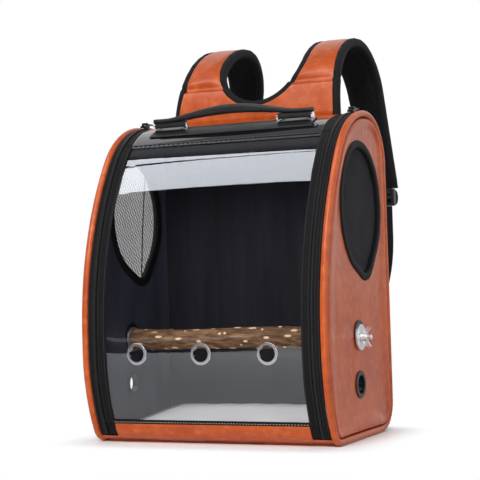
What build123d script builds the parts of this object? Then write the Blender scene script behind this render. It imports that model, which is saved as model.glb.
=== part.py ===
from build123d import *
from math import asin, cos, degrees, radians, sin, sqrt
import os

# Bird travel carrier: a D-profiled backpack with a clear front, mesh side windows and a perch.
# X runs across the width, -Y is the clear front, +Y the wearer's back, and Z is up.
# The origin is on the floor, under the middle of the shell. All sizes are in millimetres.

os.makedirs("parts", exist_ok=True)

# ------------------------------------------------------------------ driving dimensions
# Shell, measured over the two side rims
body_width = 330.0
body_depth = 230.0
body_height = 408.0

# Side profile: radii of its arcs, going round from the front bottom corner
front_bottom_radius = 26.0
front_low_radius = 240.0
front_high_radius = 400.0
front_low_height = 115.0        # where the low arc becomes upright
top_radius = 118.0
back_top_radius = 65.0
back_bottom_radius = 40.0

# Rolled side rims, and the skins between them
rim_diameter = 9.0
skin_inset = 3.0                # the skins lie this far inside the rims' crest
leather_thickness = 4.0         # leather over stiffener
tape_thickness = 1.9
sewn_gap = 0.1                  # between pieces sewn to one another
seam_gap = 0.3                  # between the shell and what moves

# Side walls
panel_thickness = 3.0
panel_edge_width = 9.7
panel_edge_height = 2.4
mesh_thickness = 1.0
lining_thickness = 1.8
window_half_depth = 63.0
window_half_height = 75.0
window_centre_y = 21.0
window_centre_z = 285.0
window_tip_y = 30.0
window_tip_z = 190.0            # where the two lower edges would meet
window_tip_radius = 32.0
window_binding_width = 7.0
window_binding_thickness = 1.8
window_tuck = 6.0               # mesh held behind the panel's edge

# Zips
tape_width = 23.7
coil_width = 4.6
coil_height = 1.6
tape_end_height = 9.0           # the tapes end this high above the floor
slider_width = 8.0
slider_length = 12.0
slider_thickness = 3.0
slider_park_angle = 2.0         # degrees forward of the crown
slider_ear_thickness = 1.2
slider_pin_height = 2.0
pull_length = 22.0
pull_width = 5.0
pull_thickness = 1.5
pull_pin_radius = 0.9
pull_running_clearance = 0.08

# Clear front cover and the sill below it
cover_thickness = 1.2
cover_overlap = 5.0             # clear sheet under each tape
sill_height = 23.7
cover_trim_height = 4.5
seam_angle = 41.0               # top edge of the cover, in degrees forward of the crown
top_trim_angle = 2.2
eyelet_pitch = 88.0
eyelet_height = 112.5
eyelet_bore_radius = 10.0
eyelet_outer_radius = 13.5
eyelet_wall = 1.0
eyelet_flange = 1.6

# Side grommets
grommet_bore_radius = 11.5
grommet_wall = 2.0
grommet_flange_radius = 17.0
grommet_flange = 1.6
vent_grommet_y = 0.0
vent_grommet_z = 67.0
perch_grommet_z = 129.0

# Perch and its fasteners (M6)
perch_y = 0.0
perch_z = 125.0
perch_radius = 15.0
perch_end_round = 3.0
bolt_radius = 3.0
bolt_embedded = 32.0
bolt_proud = 13.5               # beyond the outer washer
washer_radius = 16.0
washer_thickness = 2.0
washer_clearance = 0.3
nut_running_clearance = 0.06
nut_hub_radius = 5.6
nut_hub_height = 7.5
nut_wing_reach = 13.0
nut_wing_height = 12.0
nut_wing_thickness = 2.6

# Inside
floor_board_thickness = 3.0
mat_width = 280.0
mat_thickness = 9.0
mat_corner_radius = 10.0
mat_front_overhang = 7.7       # past the front edge of the board
mat_back_gap = 2.0             # before the lining of the back wall
back_lining_thickness = 2.2

# Padding against the wearer's back
back_pad_side_gap = 5.5        # beside each lower anchor
back_pad_low = 62.0
back_pad_high = 322.0
back_pad_thickness = 11.0
back_pad_round = 16.0

# Carry handle, its brackets and base strip
handle_base_rear_angle = 20.0
handle_base_thickness = 2.4
handle_angle = 24.0             # the brackets stand here on the crown's arc
bracket_inner_x = 63.0
bracket_outer_x = 112.0
bracket_depth = 12.0
bracket_plate_thickness = 1.4
bracket_ear_thickness = 2.0
bracket_ear_radius = 3.5
handle_pin_height = 4.6         # above the bracket's plate
handle_pin_radius = 1.5
handle_pin_clearance = 0.08
knuckle_radius = 3.2
handle_strap_low = 3.8          # heights above the pin's axis
handle_strap_high = 9.0
handle_grip_low = 9.3
handle_grip_high = 22.0
handle_gap_half_width = 58.0
handle_depth = 16.0
rivet_radius = 1.8
rivet_height = 1.0
rivet_offset = 4.0

# Shoulder yoke and straps
pad_thickness = 12.0
yoke_foot_y = 72.8
yoke_lean = 10.0                # degrees from upright
yoke_foot_drop = 6.0            # under the crown
yoke_bend_rise = 16.0           # over the crown
arch_front_radius = 110.0
arch_back_radius = 62.0
yoke_foot_half_width = 120.0
yoke_seam_half_width = 116.0
yoke_seam_rise = 48.0
neck_radius = 55.0
strap_top_half_width = 110.0
strap_end_outer_x = 135.0
strap_end_inner_x = 92.0
strap_end_drop = 90.0

# Ladder locks, lower webbing and its anchors
webbing_width = 25.0
webbing_thickness = 2.0
lock_height = 24.0
lock_width = 34.0
lock_thickness = 9.0
lock_bar = 4.0
roll_radius = 12.0
anchor_width = 40.0
anchor_low = 48.0
anchor_high = 92.0
anchor_thickness = 4.0
webbing_elbow_drop = 71.7       # under the ladder lock
webbing_knee = (182.0, 126.0)   # (y, z)
webbing_bends = (100.0, 100.0, 28.0)

# ------------------------------------------------------------------ derived places
half_width = body_width / 2
front_y = -body_depth / 2
back_y = body_depth / 2
rim_radius = rim_diameter / 2
skin_half_width = half_width - rim_diameter - seam_gap
tape_inner_x = skin_half_width - tape_width
opening_x = skin_half_width - tape_width / 2        # the zips' line: cover inside, shell outside
cover_inset = skin_inset + tape_thickness + sewn_gap
cover_inner_inset = cover_inset + cover_thickness
leather_inner_inset = skin_inset + leather_thickness
board_top = leather_inner_inset + seam_gap + floor_board_thickness

# Centres of the profile's arcs, as (y, z)
crown = (back_y - back_top_radius, body_height - top_radius)
back_top = (crown[0], body_height - back_top_radius)
back_bottom = (back_y - back_bottom_radius, back_bottom_radius)
high_y = front_y + front_high_radius
high_z = crown[1] - sqrt((front_high_radius - top_radius) ** 2 - (high_y - crown[0]) ** 2)
low_y = front_y + front_low_radius
corner_run = front_low_radius - front_bottom_radius
corner_rise = front_low_height - front_bottom_radius
corner_y = low_y - sqrt(corner_run**2 - corner_rise**2)

# Where the arcs join, as directions in degrees from +Y
brow_end = 180 - degrees(asin((crown[1] - high_z) / (front_high_radius - top_radius)))
low_end = 180 + degrees(asin(corner_rise / corner_run))

# Side wall layers, as distances from the middle plane
panel_outer_x = half_width - panel_edge_height - 0.6
panel_inner_x = panel_outer_x - panel_thickness
mesh_outer_x = panel_inner_x - sewn_gap
lining_outer_x = mesh_outer_x - mesh_thickness - sewn_gap
lining_inner_x = lining_outer_x - lining_thickness
panel_inset = rim_diameter + seam_gap
lining_inset = panel_inset - 0.8

# The cover's hinge line, on the outer face at the top of the sill
cover_low_z = sill_height + seam_gap
hinge_z = cover_low_z
hinge_y = low_y - sqrt((front_low_radius - skin_inset) ** 2 - (front_low_height - hinge_z) ** 2)

# Perch fasteners, as distances from the middle plane
inner_washer_x = lining_inner_x - sewn_gap - grommet_flange - sewn_gap - washer_thickness
perch_half_length = inner_washer_x - sewn_gap
outer_washer_x = panel_outer_x + sewn_gap + grommet_flange + sewn_gap
nut_x = outer_washer_x + washer_thickness + seam_gap

# Shoulder arches, as (y, z)
yoke_foot_height = body_height - yoke_foot_drop
yoke_bend_height = body_height + yoke_bend_rise
yoke_seam_height = body_height + yoke_seam_rise
strap_end_height = body_height - strap_end_drop
yoke_bend_y = yoke_foot_y + (yoke_bend_height - yoke_foot_height) * sin(radians(yoke_lean))
arch_front = (
    yoke_bend_y + arch_front_radius * cos(radians(yoke_lean)),
    yoke_bend_height - arch_front_radius * sin(radians(yoke_lean)),
)
arch_back = (arch_front[0], arch_front[1] + arch_front_radius - arch_back_radius)
strap_back_y = arch_back[0] + arch_back_radius
arch_top_z = arch_front[1] + arch_front_radius
webbing_x = (strap_end_inner_x + strap_end_outer_x) / 2
back_pad_width = 2 * (webbing_x - anchor_width / 2 - back_pad_side_gap)
lock_top = strap_end_height - seam_gap
lock_low = lock_top - lock_height

far = 2 * body_height           # reaches past everything
sides = (("left", -1), ("right", 1))


def save(builder, name):
    """Label a finished piece and write its STEP file."""
    builder.part.label = name
    export_step(builder.part, f"parts/{name}.step")


def along_crown(angle, radius):
    """A (y, z) point at a radius from the crown's centre, angle degrees forward of upright."""
    return (crown[0] - radius * sin(radians(angle)), crown[1] + radius * cos(radians(angle)))


def side_face(inset):
    """The D-shaped side profile in (y, z), moved inwards by inset."""
    with BuildSketch() as face:
        with BuildLine():
            corner = CenterArc(
                (corner_y, front_bottom_radius), front_bottom_radius - inset, low_end, 270 - low_end
            )
            heel = CenterArc(back_bottom, back_bottom_radius - inset, 270, 90)
            shoulder = CenterArc(back_top, back_top_radius - inset, 0, 90)
            CenterArc(crown, top_radius - inset, 90, brow_end - 90)
            high = CenterArc((high_y, high_z), front_high_radius - inset, brow_end, 180 - brow_end)
            low = CenterArc((low_y, front_low_height), front_low_radius - inset, 180, low_end - 180)
            Line(corner @ 1, heel @ 0)
            Line(heel @ 1, shoulder @ 0)
            Line(high @ 1, low @ 0)
        make_face()
    return face.sketch_local


def region(*points):
    """A polygon in (y, z) that keeps one stretch of the profile."""
    with BuildSketch() as face:
        with BuildLine():
            Polyline(*points, close=True)
        make_face()
    return face.sketch_local


def band(outer_inset, inner_inset, stretch):
    """A strip that follows the profile between two insets, within a region."""
    with BuildSketch() as strip:
        add(side_face(outer_inset))
        add(side_face(inner_inset), mode=Mode.SUBTRACT)
        add(stretch, mode=Mode.INTERSECT)
    return strip.sketch_local


def window_face(growth):
    """Side window outline in (y, z), grown outwards: an ellipse drawn down to a soft tip."""
    half_depth = window_half_depth + growth
    half_height = window_half_height + growth
    tip = (window_tip_y, window_tip_z - 1.2 * growth)
    # The two straight edges touch the ellipse, found where it is scaled to a unit circle
    across = (tip[0] - window_centre_y) / half_depth
    along = (tip[1] - window_centre_z) / half_height
    lean = degrees(asin(across / sqrt(across**2 + along**2)))
    spread = 90 - degrees(asin(1 / sqrt(across**2 + along**2)))
    with BuildSketch() as face:
        with BuildLine():
            arc = EllipticalCenterArc(
                (window_centre_y, window_centre_z), half_depth, half_height,
                start_angle=lean + spread - 90, arc_size=360 - 2 * spread,
            )
            Polyline(arc @ 1, tip, arc @ 0)
        make_face()
        fillet(face.vertices().sort_by(Axis.Y)[0], radius=window_tip_radius + growth)
    return face.sketch_local


def wall_plane(sign, x, y=0.0, z=0.0):
    """A plane parallel to a side wall that looks outwards, with local x along +Y or -Y."""
    return Plane(origin=(sign * x, y, z), x_dir=(0, sign, 0), z_dir=(sign, 0, 0))


def side_span(sign, near_x, far_x):
    """The plane at the lower X of a span on one side, and the span's length."""
    return Plane.YZ.offset(min(sign * near_x, sign * far_x)), far_x - near_x


# Stretches of the profile
cover_stretch = region(
    crown, along_crown(seam_angle, far), (-far, crown[1]), (-far, cover_low_z), (corner_y, cover_low_z)
)
top_stretch = region(
    crown, along_crown(seam_angle - 0.5, far), (crown[0], far), (far, far), (far, back_top[1]), back_top
)
tape_stretch = region(
    (corner_y, tape_end_height), (-far, tape_end_height), (-far, far), (far, far), (far, back_top[1]),
    back_top,
)
tape_foot_stretch = region(
    (corner_y, tape_end_height), (-far, tape_end_height), (-far, sill_height), (corner_y, sill_height)
)
sill_stretch = region(
    (corner_y - seam_gap, -far), (corner_y - seam_gap, sill_height), (-far, sill_height), (-far, -far)
)
zip_end_stretch = region(
    (corner_y - seam_gap, -far), (corner_y - seam_gap, tape_end_height - seam_gap),
    (-far, tape_end_height - seam_gap), (-far, -far),
)
base_stretch = region(
    (corner_y, -far), (corner_y, back_bottom[1]), (far, back_bottom[1]), (far, -far)
)
back_stretch = region(
    (crown[0], back_bottom[1] + seam_gap), (crown[0], back_top[1] - seam_gap),
    (far, back_top[1] - seam_gap), (far, back_bottom[1] + seam_gap),
)

# ------------------------------------------------------------------ shell
# Base: leather wrapped round a stiffener, flat on the floor and turned up at the heel
with BuildPart() as base_panel:
    with BuildSketch(Plane.YZ.offset(-skin_half_width)):
        add(band(skin_inset, leather_inner_inset, base_stretch))
    extrude(amount=2 * skin_half_width)
    with BuildSketch(Plane.XY):
        with Locations((0, (corner_y + back_bottom[0]) / 2)):
            RectangleRounded(2 * skin_half_width, back_bottom[0] - corner_y, skin_inset)
    extrude(amount=skin_inset + sewn_gap)
save(base_panel, "base_panel")

# Front sill: the leather strip under the cover
sill_half_width = tape_inner_x - seam_gap
with BuildPart() as front_sill:
    with BuildSketch(Plane.YZ.offset(-sill_half_width)):
        add(band(skin_inset, leather_inner_inset, sill_stretch))
    extrude(amount=2 * sill_half_width)
save(front_sill, "front_sill")

# Leather ends that close the bottoms of the zips, one solid each side
with BuildPart() as zip_ends:
    for side, sign in sides:
        plane, length = side_span(sign, tape_inner_x, skin_half_width)
        with BuildSketch(plane):
            add(band(skin_inset, leather_inner_inset, zip_end_stretch))
        extrude(amount=length)
save(zip_ends, "zip_ends")

# Back wall
with BuildPart() as back_panel:
    with BuildSketch(Plane.YZ.offset(-skin_half_width)):
        add(band(skin_inset, leather_inner_inset, back_stretch))
    extrude(amount=2 * skin_half_width)
save(back_panel, "back_panel")

# Top wall, from the cover's edge over the crown and down the shoulder
top_half_width = tape_inner_x - seam_gap
with BuildPart() as top_panel:
    with BuildSketch(Plane.YZ.offset(-top_half_width)):
        add(band(skin_inset, leather_inner_inset, top_stretch))
    extrude(amount=2 * top_half_width)
save(top_panel, "top_panel")

for side, sign in sides:
    # Side wall: leather on board, with a raised edge along the rim
    with BuildPart() as side_panel:
        plane, length = side_span(sign, panel_inner_x, panel_outer_x)
        with BuildSketch(plane):
            add(side_face(panel_inset))
        extrude(amount=length)
        plane, length = side_span(sign, panel_outer_x, panel_outer_x + panel_edge_height)
        with BuildSketch(plane):
            add(side_face(panel_inset))
            add(side_face(panel_inset + panel_edge_width), mode=Mode.SUBTRACT)
        extrude(amount=length)
        crest = side_panel.edges().group_by(Axis.X)[-1 if sign > 0 else 0]
        fillet(crest, radius=panel_edge_height / 2)
        with BuildSketch(Plane.YZ.offset(sign * panel_inner_x)):
            add(window_face(sewn_gap))
            with Locations((vent_grommet_y, vent_grommet_z), (perch_y, perch_grommet_z)):
                Circle(grommet_bore_radius + grommet_wall + sewn_gap)
        extrude(amount=panel_thickness, both=True, mode=Mode.SUBTRACT)
    save(side_panel, f"side_panel_{side}")

    # Rolled rim: a leather-covered cord sewn round the side wall
    rim_plane = Plane.YZ.offset(sign * (half_width - rim_radius))
    rim_path = rim_plane.from_local_coords(side_face(rim_radius).faces()[0].outer_wire())
    with BuildPart() as side_rim:
        with BuildSketch(Plane(origin=rim_path @ 0, x_dir=(1, 0, 0), z_dir=rim_path % 0)):
            Circle(rim_radius)
        sweep(path=rim_path)
    save(side_rim, f"side_rim_{side}")

    # Dark lining inside the side wall
    with BuildPart() as side_lining:
        plane, length = side_span(sign, lining_inner_x, lining_outer_x)
        with BuildSketch(plane):
            add(side_face(lining_inset))
            add(window_face(0), mode=Mode.SUBTRACT)
            with Locations((vent_grommet_y, vent_grommet_z), (perch_y, perch_grommet_z)):
                Circle(grommet_bore_radius + grommet_wall + sewn_gap, mode=Mode.SUBTRACT)
        extrude(amount=length)
    save(side_lining, f"side_lining_{side}")

    # Mesh window, caught between the side wall and its lining
    with BuildPart() as window_mesh:
        plane, length = side_span(sign, mesh_outer_x - mesh_thickness, mesh_outer_x)
        with BuildSketch(plane):
            add(window_face(window_tuck))
        extrude(amount=length)
    save(window_mesh, f"window_mesh_{side}")

    # Binding tape round the window
    with BuildPart() as window_binding:
        near_x = panel_outer_x + sewn_gap
        plane, length = side_span(sign, near_x, near_x + window_binding_thickness)
        with BuildSketch(plane):
            add(window_face(window_binding_width))
            add(window_face(0), mode=Mode.SUBTRACT)
        extrude(amount=length)
    save(window_binding, f"window_binding_{side}")

    # Outer zip tape: along the opening, and full width below the cover and behind its top edge
    with BuildPart() as zip_tape:
        plane, length = side_span(sign, opening_x + seam_gap / 2, skin_half_width)
        with BuildSketch(plane):
            add(band(skin_inset, skin_inset + tape_thickness, tape_stretch))
        extrude(amount=length)
        plane, length = side_span(sign, tape_inner_x, opening_x + seam_gap)
        with BuildSketch(plane):
            add(band(skin_inset, skin_inset + tape_thickness, top_stretch))
            add(band(skin_inset, skin_inset + tape_thickness, tape_foot_stretch))
        extrude(amount=length)
    save(zip_tape, f"zip_tape_{side}")

    # Coil on the outer tape's opening edge
    coil_near_x = opening_x + seam_gap
    with BuildPart() as zip_coil:
        plane, length = side_span(sign, coil_near_x, coil_near_x + coil_width)
        with BuildSketch(plane):
            add(band(skin_inset - coil_height, skin_inset, tape_stretch))
        extrude(amount=length)
    save(zip_coil, f"zip_coil_{side}")

    # Grommets through the side wall: the lower one vents, the upper one takes the perch's bolt
    for use, y, z in (("vent", vent_grommet_y, vent_grommet_z), ("perch", perch_y, perch_grommet_z)):
        flange_x = panel_outer_x + sewn_gap
        inner_flange_x = lining_inner_x - sewn_gap - grommet_flange
        with BuildPart() as grommet:
            with BuildSketch(wall_plane(sign, inner_flange_x, y, z)):
                Circle(grommet_flange_radius)
            extrude(amount=grommet_flange)
            with BuildSketch(wall_plane(sign, inner_flange_x, y, z)):
                Circle(grommet_bore_radius + grommet_wall)
            extrude(amount=flange_x - inner_flange_x)
            with BuildSketch(wall_plane(sign, flange_x, y, z)):
                Circle(grommet_flange_radius)
            extrude(amount=grommet_flange)
            fillet(grommet.faces().sort_by(Axis.X)[-1 if sign > 0 else 0].edges(), radius=0.7)
            with BuildSketch(wall_plane(sign, inner_flange_x, y, z)):
                Circle(grommet_bore_radius)
            extrude(amount=half_width, mode=Mode.SUBTRACT)
        save(grommet, f"{use}_grommet_{side}")

# ------------------------------------------------------------------ clear cover
cover_half_width = tape_inner_x + cover_overlap
eyelet_places = [(i * eyelet_pitch, eyelet_height) for i in (-1, 0, 1)]

with BuildPart() as clear_cover:
    with BuildSketch(Plane.YZ.offset(-cover_half_width)):
        add(band(cover_inset, cover_inner_inset, cover_stretch))
    extrude(amount=2 * cover_half_width)
    with BuildSketch(Plane.XZ):
        with Locations(*eyelet_places):
            Circle(eyelet_bore_radius + eyelet_wall + sewn_gap)
    extrude(amount=body_depth, mode=Mode.SUBTRACT)
save(clear_cover, "clear_cover")

# Inner zip tapes, sewn over the clear sheet's side edges
for side, sign in sides:
    with BuildPart() as cover_tape:
        plane, length = side_span(sign, tape_inner_x, opening_x - seam_gap / 2)
        with BuildSketch(plane):
            add(band(skin_inset, skin_inset + tape_thickness, cover_stretch))
        extrude(amount=length)
    save(cover_tape, f"cover_tape_{side}")

# Trim tapes, sewn over the clear sheet's bottom and top edges
trim_half_width = tape_inner_x - sewn_gap
trim_places = {
    "cover_bottom_trim": region(
        (-far, cover_low_z), (corner_y, cover_low_z),
        (corner_y, cover_low_z + cover_trim_height), (-far, cover_low_z + cover_trim_height),
    ),
    "cover_top_trim": region(
        crown, along_crown(seam_angle, far), along_crown(seam_angle + top_trim_angle, far)
    ),
}
for name, stretch in trim_places.items():
    with BuildPart() as cover_trim:
        with BuildSketch(Plane.YZ.offset(-trim_half_width)):
            add(band(skin_inset, skin_inset + tape_thickness, stretch))
        extrude(amount=2 * trim_half_width)
    save(cover_trim, name)

# Three metal vent eyelets, clenched through the clear sheet
eyelet_face_y = front_y + cover_inset - sewn_gap
eyelet_back_y = eyelet_face_y + cover_thickness + 3 * seam_gap
with BuildPart() as vent_eyelets:
    with BuildSketch(Plane.XZ.offset(-eyelet_face_y)):
        with Locations(*eyelet_places):
            Circle(eyelet_outer_radius)
    extrude(amount=eyelet_flange)
    fillet(vent_eyelets.faces().sort_by(Axis.Y)[:3].edges(), radius=eyelet_flange / 2)
    with BuildSketch(Plane.XZ.offset(-eyelet_back_y - eyelet_wall)):
        with Locations(*eyelet_places):
            Circle(eyelet_outer_radius - eyelet_wall)
    extrude(amount=eyelet_wall)
    with BuildSketch(Plane.XZ.offset(-eyelet_back_y)):
        with Locations(*eyelet_places):
            Circle(eyelet_bore_radius + eyelet_wall)
    extrude(amount=eyelet_back_y - eyelet_face_y)
    with BuildSketch(Plane.XZ):
        with Locations(*eyelet_places):
            Circle(eyelet_bore_radius)
    extrude(amount=body_depth, mode=Mode.SUBTRACT)
save(vent_eyelets, "vent_eyelets")

# ------------------------------------------------------------------ zip sliders
slider_low_radius = top_radius - skin_inset + coil_height + seam_gap
slider_high_radius = slider_low_radius + slider_thickness
slider_span_angle = degrees(slider_length / slider_low_radius)
slider_mid_angle = slider_park_angle + slider_span_angle / 2
slider_near_x = opening_x + seam_gap
slider_far_x = slider_near_x + slider_width
pull_pin = along_crown(slider_mid_angle, slider_high_radius + slider_pin_height)
pull_knuckle_radius = slider_pin_height - seam_gap

for side, sign in sides:
    # Slider: a block curved to the crown, with two ears and a pin for its pull
    with BuildPart() as slider:
        plane, length = side_span(sign, slider_near_x, slider_far_x)
        with BuildSketch(plane):
            with Locations(crown):
                Circle(slider_high_radius)
                Circle(slider_low_radius, mode=Mode.SUBTRACT)
            wedge = region(
                crown,
                along_crown(slider_park_angle, far),
                along_crown(slider_park_angle + slider_span_angle, far),
            )
            add(wedge, mode=Mode.INTERSECT)
        extrude(amount=length)
        for ear_x in (slider_near_x, slider_far_x - slider_ear_thickness):
            plane, length = side_span(sign, ear_x, ear_x + slider_ear_thickness)
            with BuildSketch(plane):
                with Locations(pull_pin):
                    Circle(pull_knuckle_radius)
                with Locations(along_crown(slider_mid_angle, slider_high_radius + 0.7)):
                    Rectangle(2 * pull_knuckle_radius, 2.6, rotation=slider_mid_angle)
            extrude(amount=length)
        plane, length = side_span(sign, slider_near_x, slider_far_x)
        with BuildSketch(plane):
            with Locations(pull_pin):
                Circle(pull_pin_radius)
        extrude(amount=length)
    save(slider, f"zip_slider_{side}")

    # Pull tab: a knuckle on the pin and a flat tongue that lies to the rear
    pull_mid_x = (slider_near_x + slider_far_x) / 2
    with BuildPart() as pull:
        plane, length = side_span(sign, pull_mid_x - pull_width / 2, pull_mid_x + pull_width / 2)
        with BuildSketch(plane):
            with Locations(pull_pin):
                Circle(pull_knuckle_radius)
            with Locations((pull_pin[0] + pull_length / 2, pull_pin[1])):
                Rectangle(pull_length, pull_thickness)
            with Locations(pull_pin):
                Circle(pull_pin_radius + pull_running_clearance, mode=Mode.SUBTRACT)
        extrude(amount=length)
        tip_edges = pull.edges().filter_by(Axis.Z).group_by(Axis.Y)[-1]
        fillet(tip_edges, radius=pull_width / 2 - 0.1)
    save(pull, f"zip_pull_{side}")

# ------------------------------------------------------------------ carry handle
strip_outer_inset = skin_inset - sewn_gap - handle_base_thickness
strip_outer_radius = top_radius - strip_outer_inset
handle_base_half_width = top_half_width
with BuildPart() as handle_base:
    with BuildSketch(Plane.YZ.offset(-handle_base_half_width)):
        add(
            band(
                strip_outer_inset,
                skin_inset - sewn_gap,
                region(
                    crown,
                    along_crown(seam_angle - 0.5, far),
                    along_crown(handle_base_rear_angle, far),
                ),
            )
        )
    extrude(amount=2 * handle_base_half_width)
save(handle_base, "handle_base")

handle_normal = (0, -sin(radians(handle_angle)), cos(radians(handle_angle)))
handle_tangent = (0, cos(radians(handle_angle)), sin(radians(handle_angle)))
plate_y, plate_z = along_crown(handle_angle, strip_outer_radius + sewn_gap)
pin_y, pin_z = along_crown(
    handle_angle, strip_outer_radius + sewn_gap + bracket_plate_thickness + handle_pin_height
)
bracket_mid_x = (bracket_inner_x + bracket_outer_x) / 2
bracket_length = bracket_outer_x - bracket_inner_x

for side, sign in sides:
    # Bracket: a plate on the strip with an ear at each end
    with BuildPart() as bracket:
        with BuildSketch(
            Plane(origin=(sign * bracket_mid_x, plate_y, plate_z), x_dir=(1, 0, 0), z_dir=handle_normal)
        ):
            RectangleRounded(bracket_length, bracket_depth, 1.5)
        extrude(amount=bracket_plate_thickness)
        for ear_x in (bracket_inner_x, bracket_outer_x - bracket_ear_thickness):
            low_x = min(sign * ear_x, sign * (ear_x + bracket_ear_thickness))
            with BuildSketch(
                Plane(origin=(low_x, pin_y, pin_z), x_dir=handle_tangent, z_dir=(1, 0, 0))
            ):
                Circle(bracket_ear_radius)
                with Locations((0, -handle_pin_height / 2)):
                    Rectangle(2 * bracket_ear_radius, handle_pin_height)
                Circle(handle_pin_radius + 0.02, mode=Mode.SUBTRACT)
            extrude(amount=bracket_ear_thickness)
    save(bracket, f"handle_bracket_{side}")

# Two pins, one through each bracket
with BuildPart() as handle_pins:
    for side, sign in sides:
        with BuildSketch(wall_plane(sign, bracket_inner_x, pin_y, pin_z)):
            Circle(handle_pin_radius)
        extrude(amount=bracket_length)
save(handle_pins, "handle_pins")

# Rivets that hold the brackets' plates
rivet_pitch = bracket_length - 2 * bracket_ear_thickness - 10
with BuildPart() as handle_rivets:
    for side, sign in sides:
        with BuildSketch(
            Plane(origin=(sign * bracket_mid_x, plate_y, plate_z), x_dir=(1, 0, 0), z_dir=handle_normal)
            .offset(bracket_plate_thickness)
        ):
            with GridLocations(rivet_pitch, 2 * rivet_offset, 2, 2):
                Circle(rivet_radius)
        extrude(amount=rivet_height)
save(handle_rivets, "handle_rivets")

# Handle: an arched grip whose flat ends turn on the brackets' pins
knuckle_near_x = bracket_inner_x + bracket_ear_thickness + seam_gap
knuckle_far_x = bracket_outer_x - bracket_ear_thickness - seam_gap
handle_plane = Plane(origin=(0, pin_y + handle_depth / 2, pin_z), x_dir=(1, 0, 0), z_dir=(0, -1, 0))
with BuildPart() as handle_grip:
    with BuildSketch(handle_plane):
        with BuildLine():
            gap = ThreePointArc(
                (-handle_gap_half_width, handle_strap_low),
                (0, handle_grip_low),
                (handle_gap_half_width, handle_strap_low),
            )
            back = ThreePointArc(
                (bracket_outer_x, handle_strap_high),
                (0, handle_grip_high),
                (-bracket_outer_x, handle_strap_high),
            )
            Polyline(gap @ 1, (bracket_outer_x, handle_strap_low), back @ 0)
            Polyline(back @ 1, (-bracket_outer_x, handle_strap_low), gap @ 0)
        make_face()
    extrude(amount=handle_depth)
    fillet(handle_grip.edges().filter_by(GeomType.CIRCLE), radius=1.4)
    for side, sign in sides:
        with BuildSketch(wall_plane(sign, knuckle_near_x, pin_y, pin_z)):
            Circle(knuckle_radius)
            with Locations((0, (knuckle_radius + handle_strap_low) / 2)):
                Rectangle(2 * knuckle_radius, handle_strap_low - knuckle_radius + 2 * handle_pin_radius)
            Circle(handle_pin_radius + handle_pin_clearance, mode=Mode.SUBTRACT)
        extrude(amount=knuckle_far_x - knuckle_near_x)
save(handle_grip, "handle_grip")

# ------------------------------------------------------------------ yoke and shoulder straps
half_pad = pad_thickness / 2
arch_sweep = 90 - yoke_lean


def front_arch_face():
    """Side view of the padded sheet from its foot up to the top of the arch, in (y, z)."""
    down = (-sin(radians(yoke_lean)), -cos(radians(yoke_lean)))
    with BuildSketch() as face:
        with BuildLine():
            outer = CenterArc(arch_front, arch_front_radius + half_pad, 90, arch_sweep)
            inner = CenterArc(arch_front, arch_front_radius - half_pad, 90, arch_sweep)
            foot = [
                (arc @ 1) + Vector(down[0], down[1]) * (2 * (yoke_bend_height - yoke_foot_height))
                for arc in (outer, inner)
            ]
            Line(outer @ 0, inner @ 0)
            Polyline(outer @ 1, foot[0], foot[1], inner @ 1)
        make_face()
    return face.sketch_local


def back_arch_face():
    """Side view of a shoulder strap from the top of the arch down to its end, in (y, z)."""
    with BuildSketch() as face:
        with BuildLine():
            outer = CenterArc(arch_back, arch_back_radius + half_pad, 0, 90)
            inner = CenterArc(arch_back, arch_back_radius - half_pad, 0, 90)
            Line(outer @ 1, inner @ 1)
            Polyline(
                outer @ 0,
                (strap_back_y + half_pad, strap_end_height),
                (strap_back_y - half_pad, strap_end_height),
                inner @ 0,
            )
        make_face()
    return face.sketch_local


neck_z = yoke_seam_height + sqrt(neck_radius**2 - (0.8 * neck_radius) ** 2)
neck_seam_x = 0.8 * neck_radius
yoke_front_plane = Plane.XZ.offset(-arch_front[0])

# Yoke: one padded sheet with the neck hollow cut in its top edge
with BuildPart() as yoke:
    with BuildSketch(Plane.YZ.offset(-yoke_foot_half_width)):
        add(front_arch_face())
        add(side_face(skin_inset - seam_gap), mode=Mode.SUBTRACT)
    extrude(amount=2 * yoke_foot_half_width)
    with BuildSketch(yoke_front_plane):
        with BuildLine():
            Polyline(
                (-neck_seam_x, yoke_seam_height),
                (-yoke_seam_half_width, yoke_seam_height),
                (-yoke_foot_half_width, crown[1]),
                (yoke_foot_half_width, crown[1]),
                (yoke_seam_half_width, yoke_seam_height),
                (neck_seam_x, yoke_seam_height),
            )
            ThreePointArc(
                (neck_seam_x, yoke_seam_height), (0, neck_z - neck_radius), (-neck_seam_x, yoke_seam_height)
            )
        make_face()
    extrude(amount=far, mode=Mode.INTERSECT)
save(yoke, "shoulder_yoke")

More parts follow.
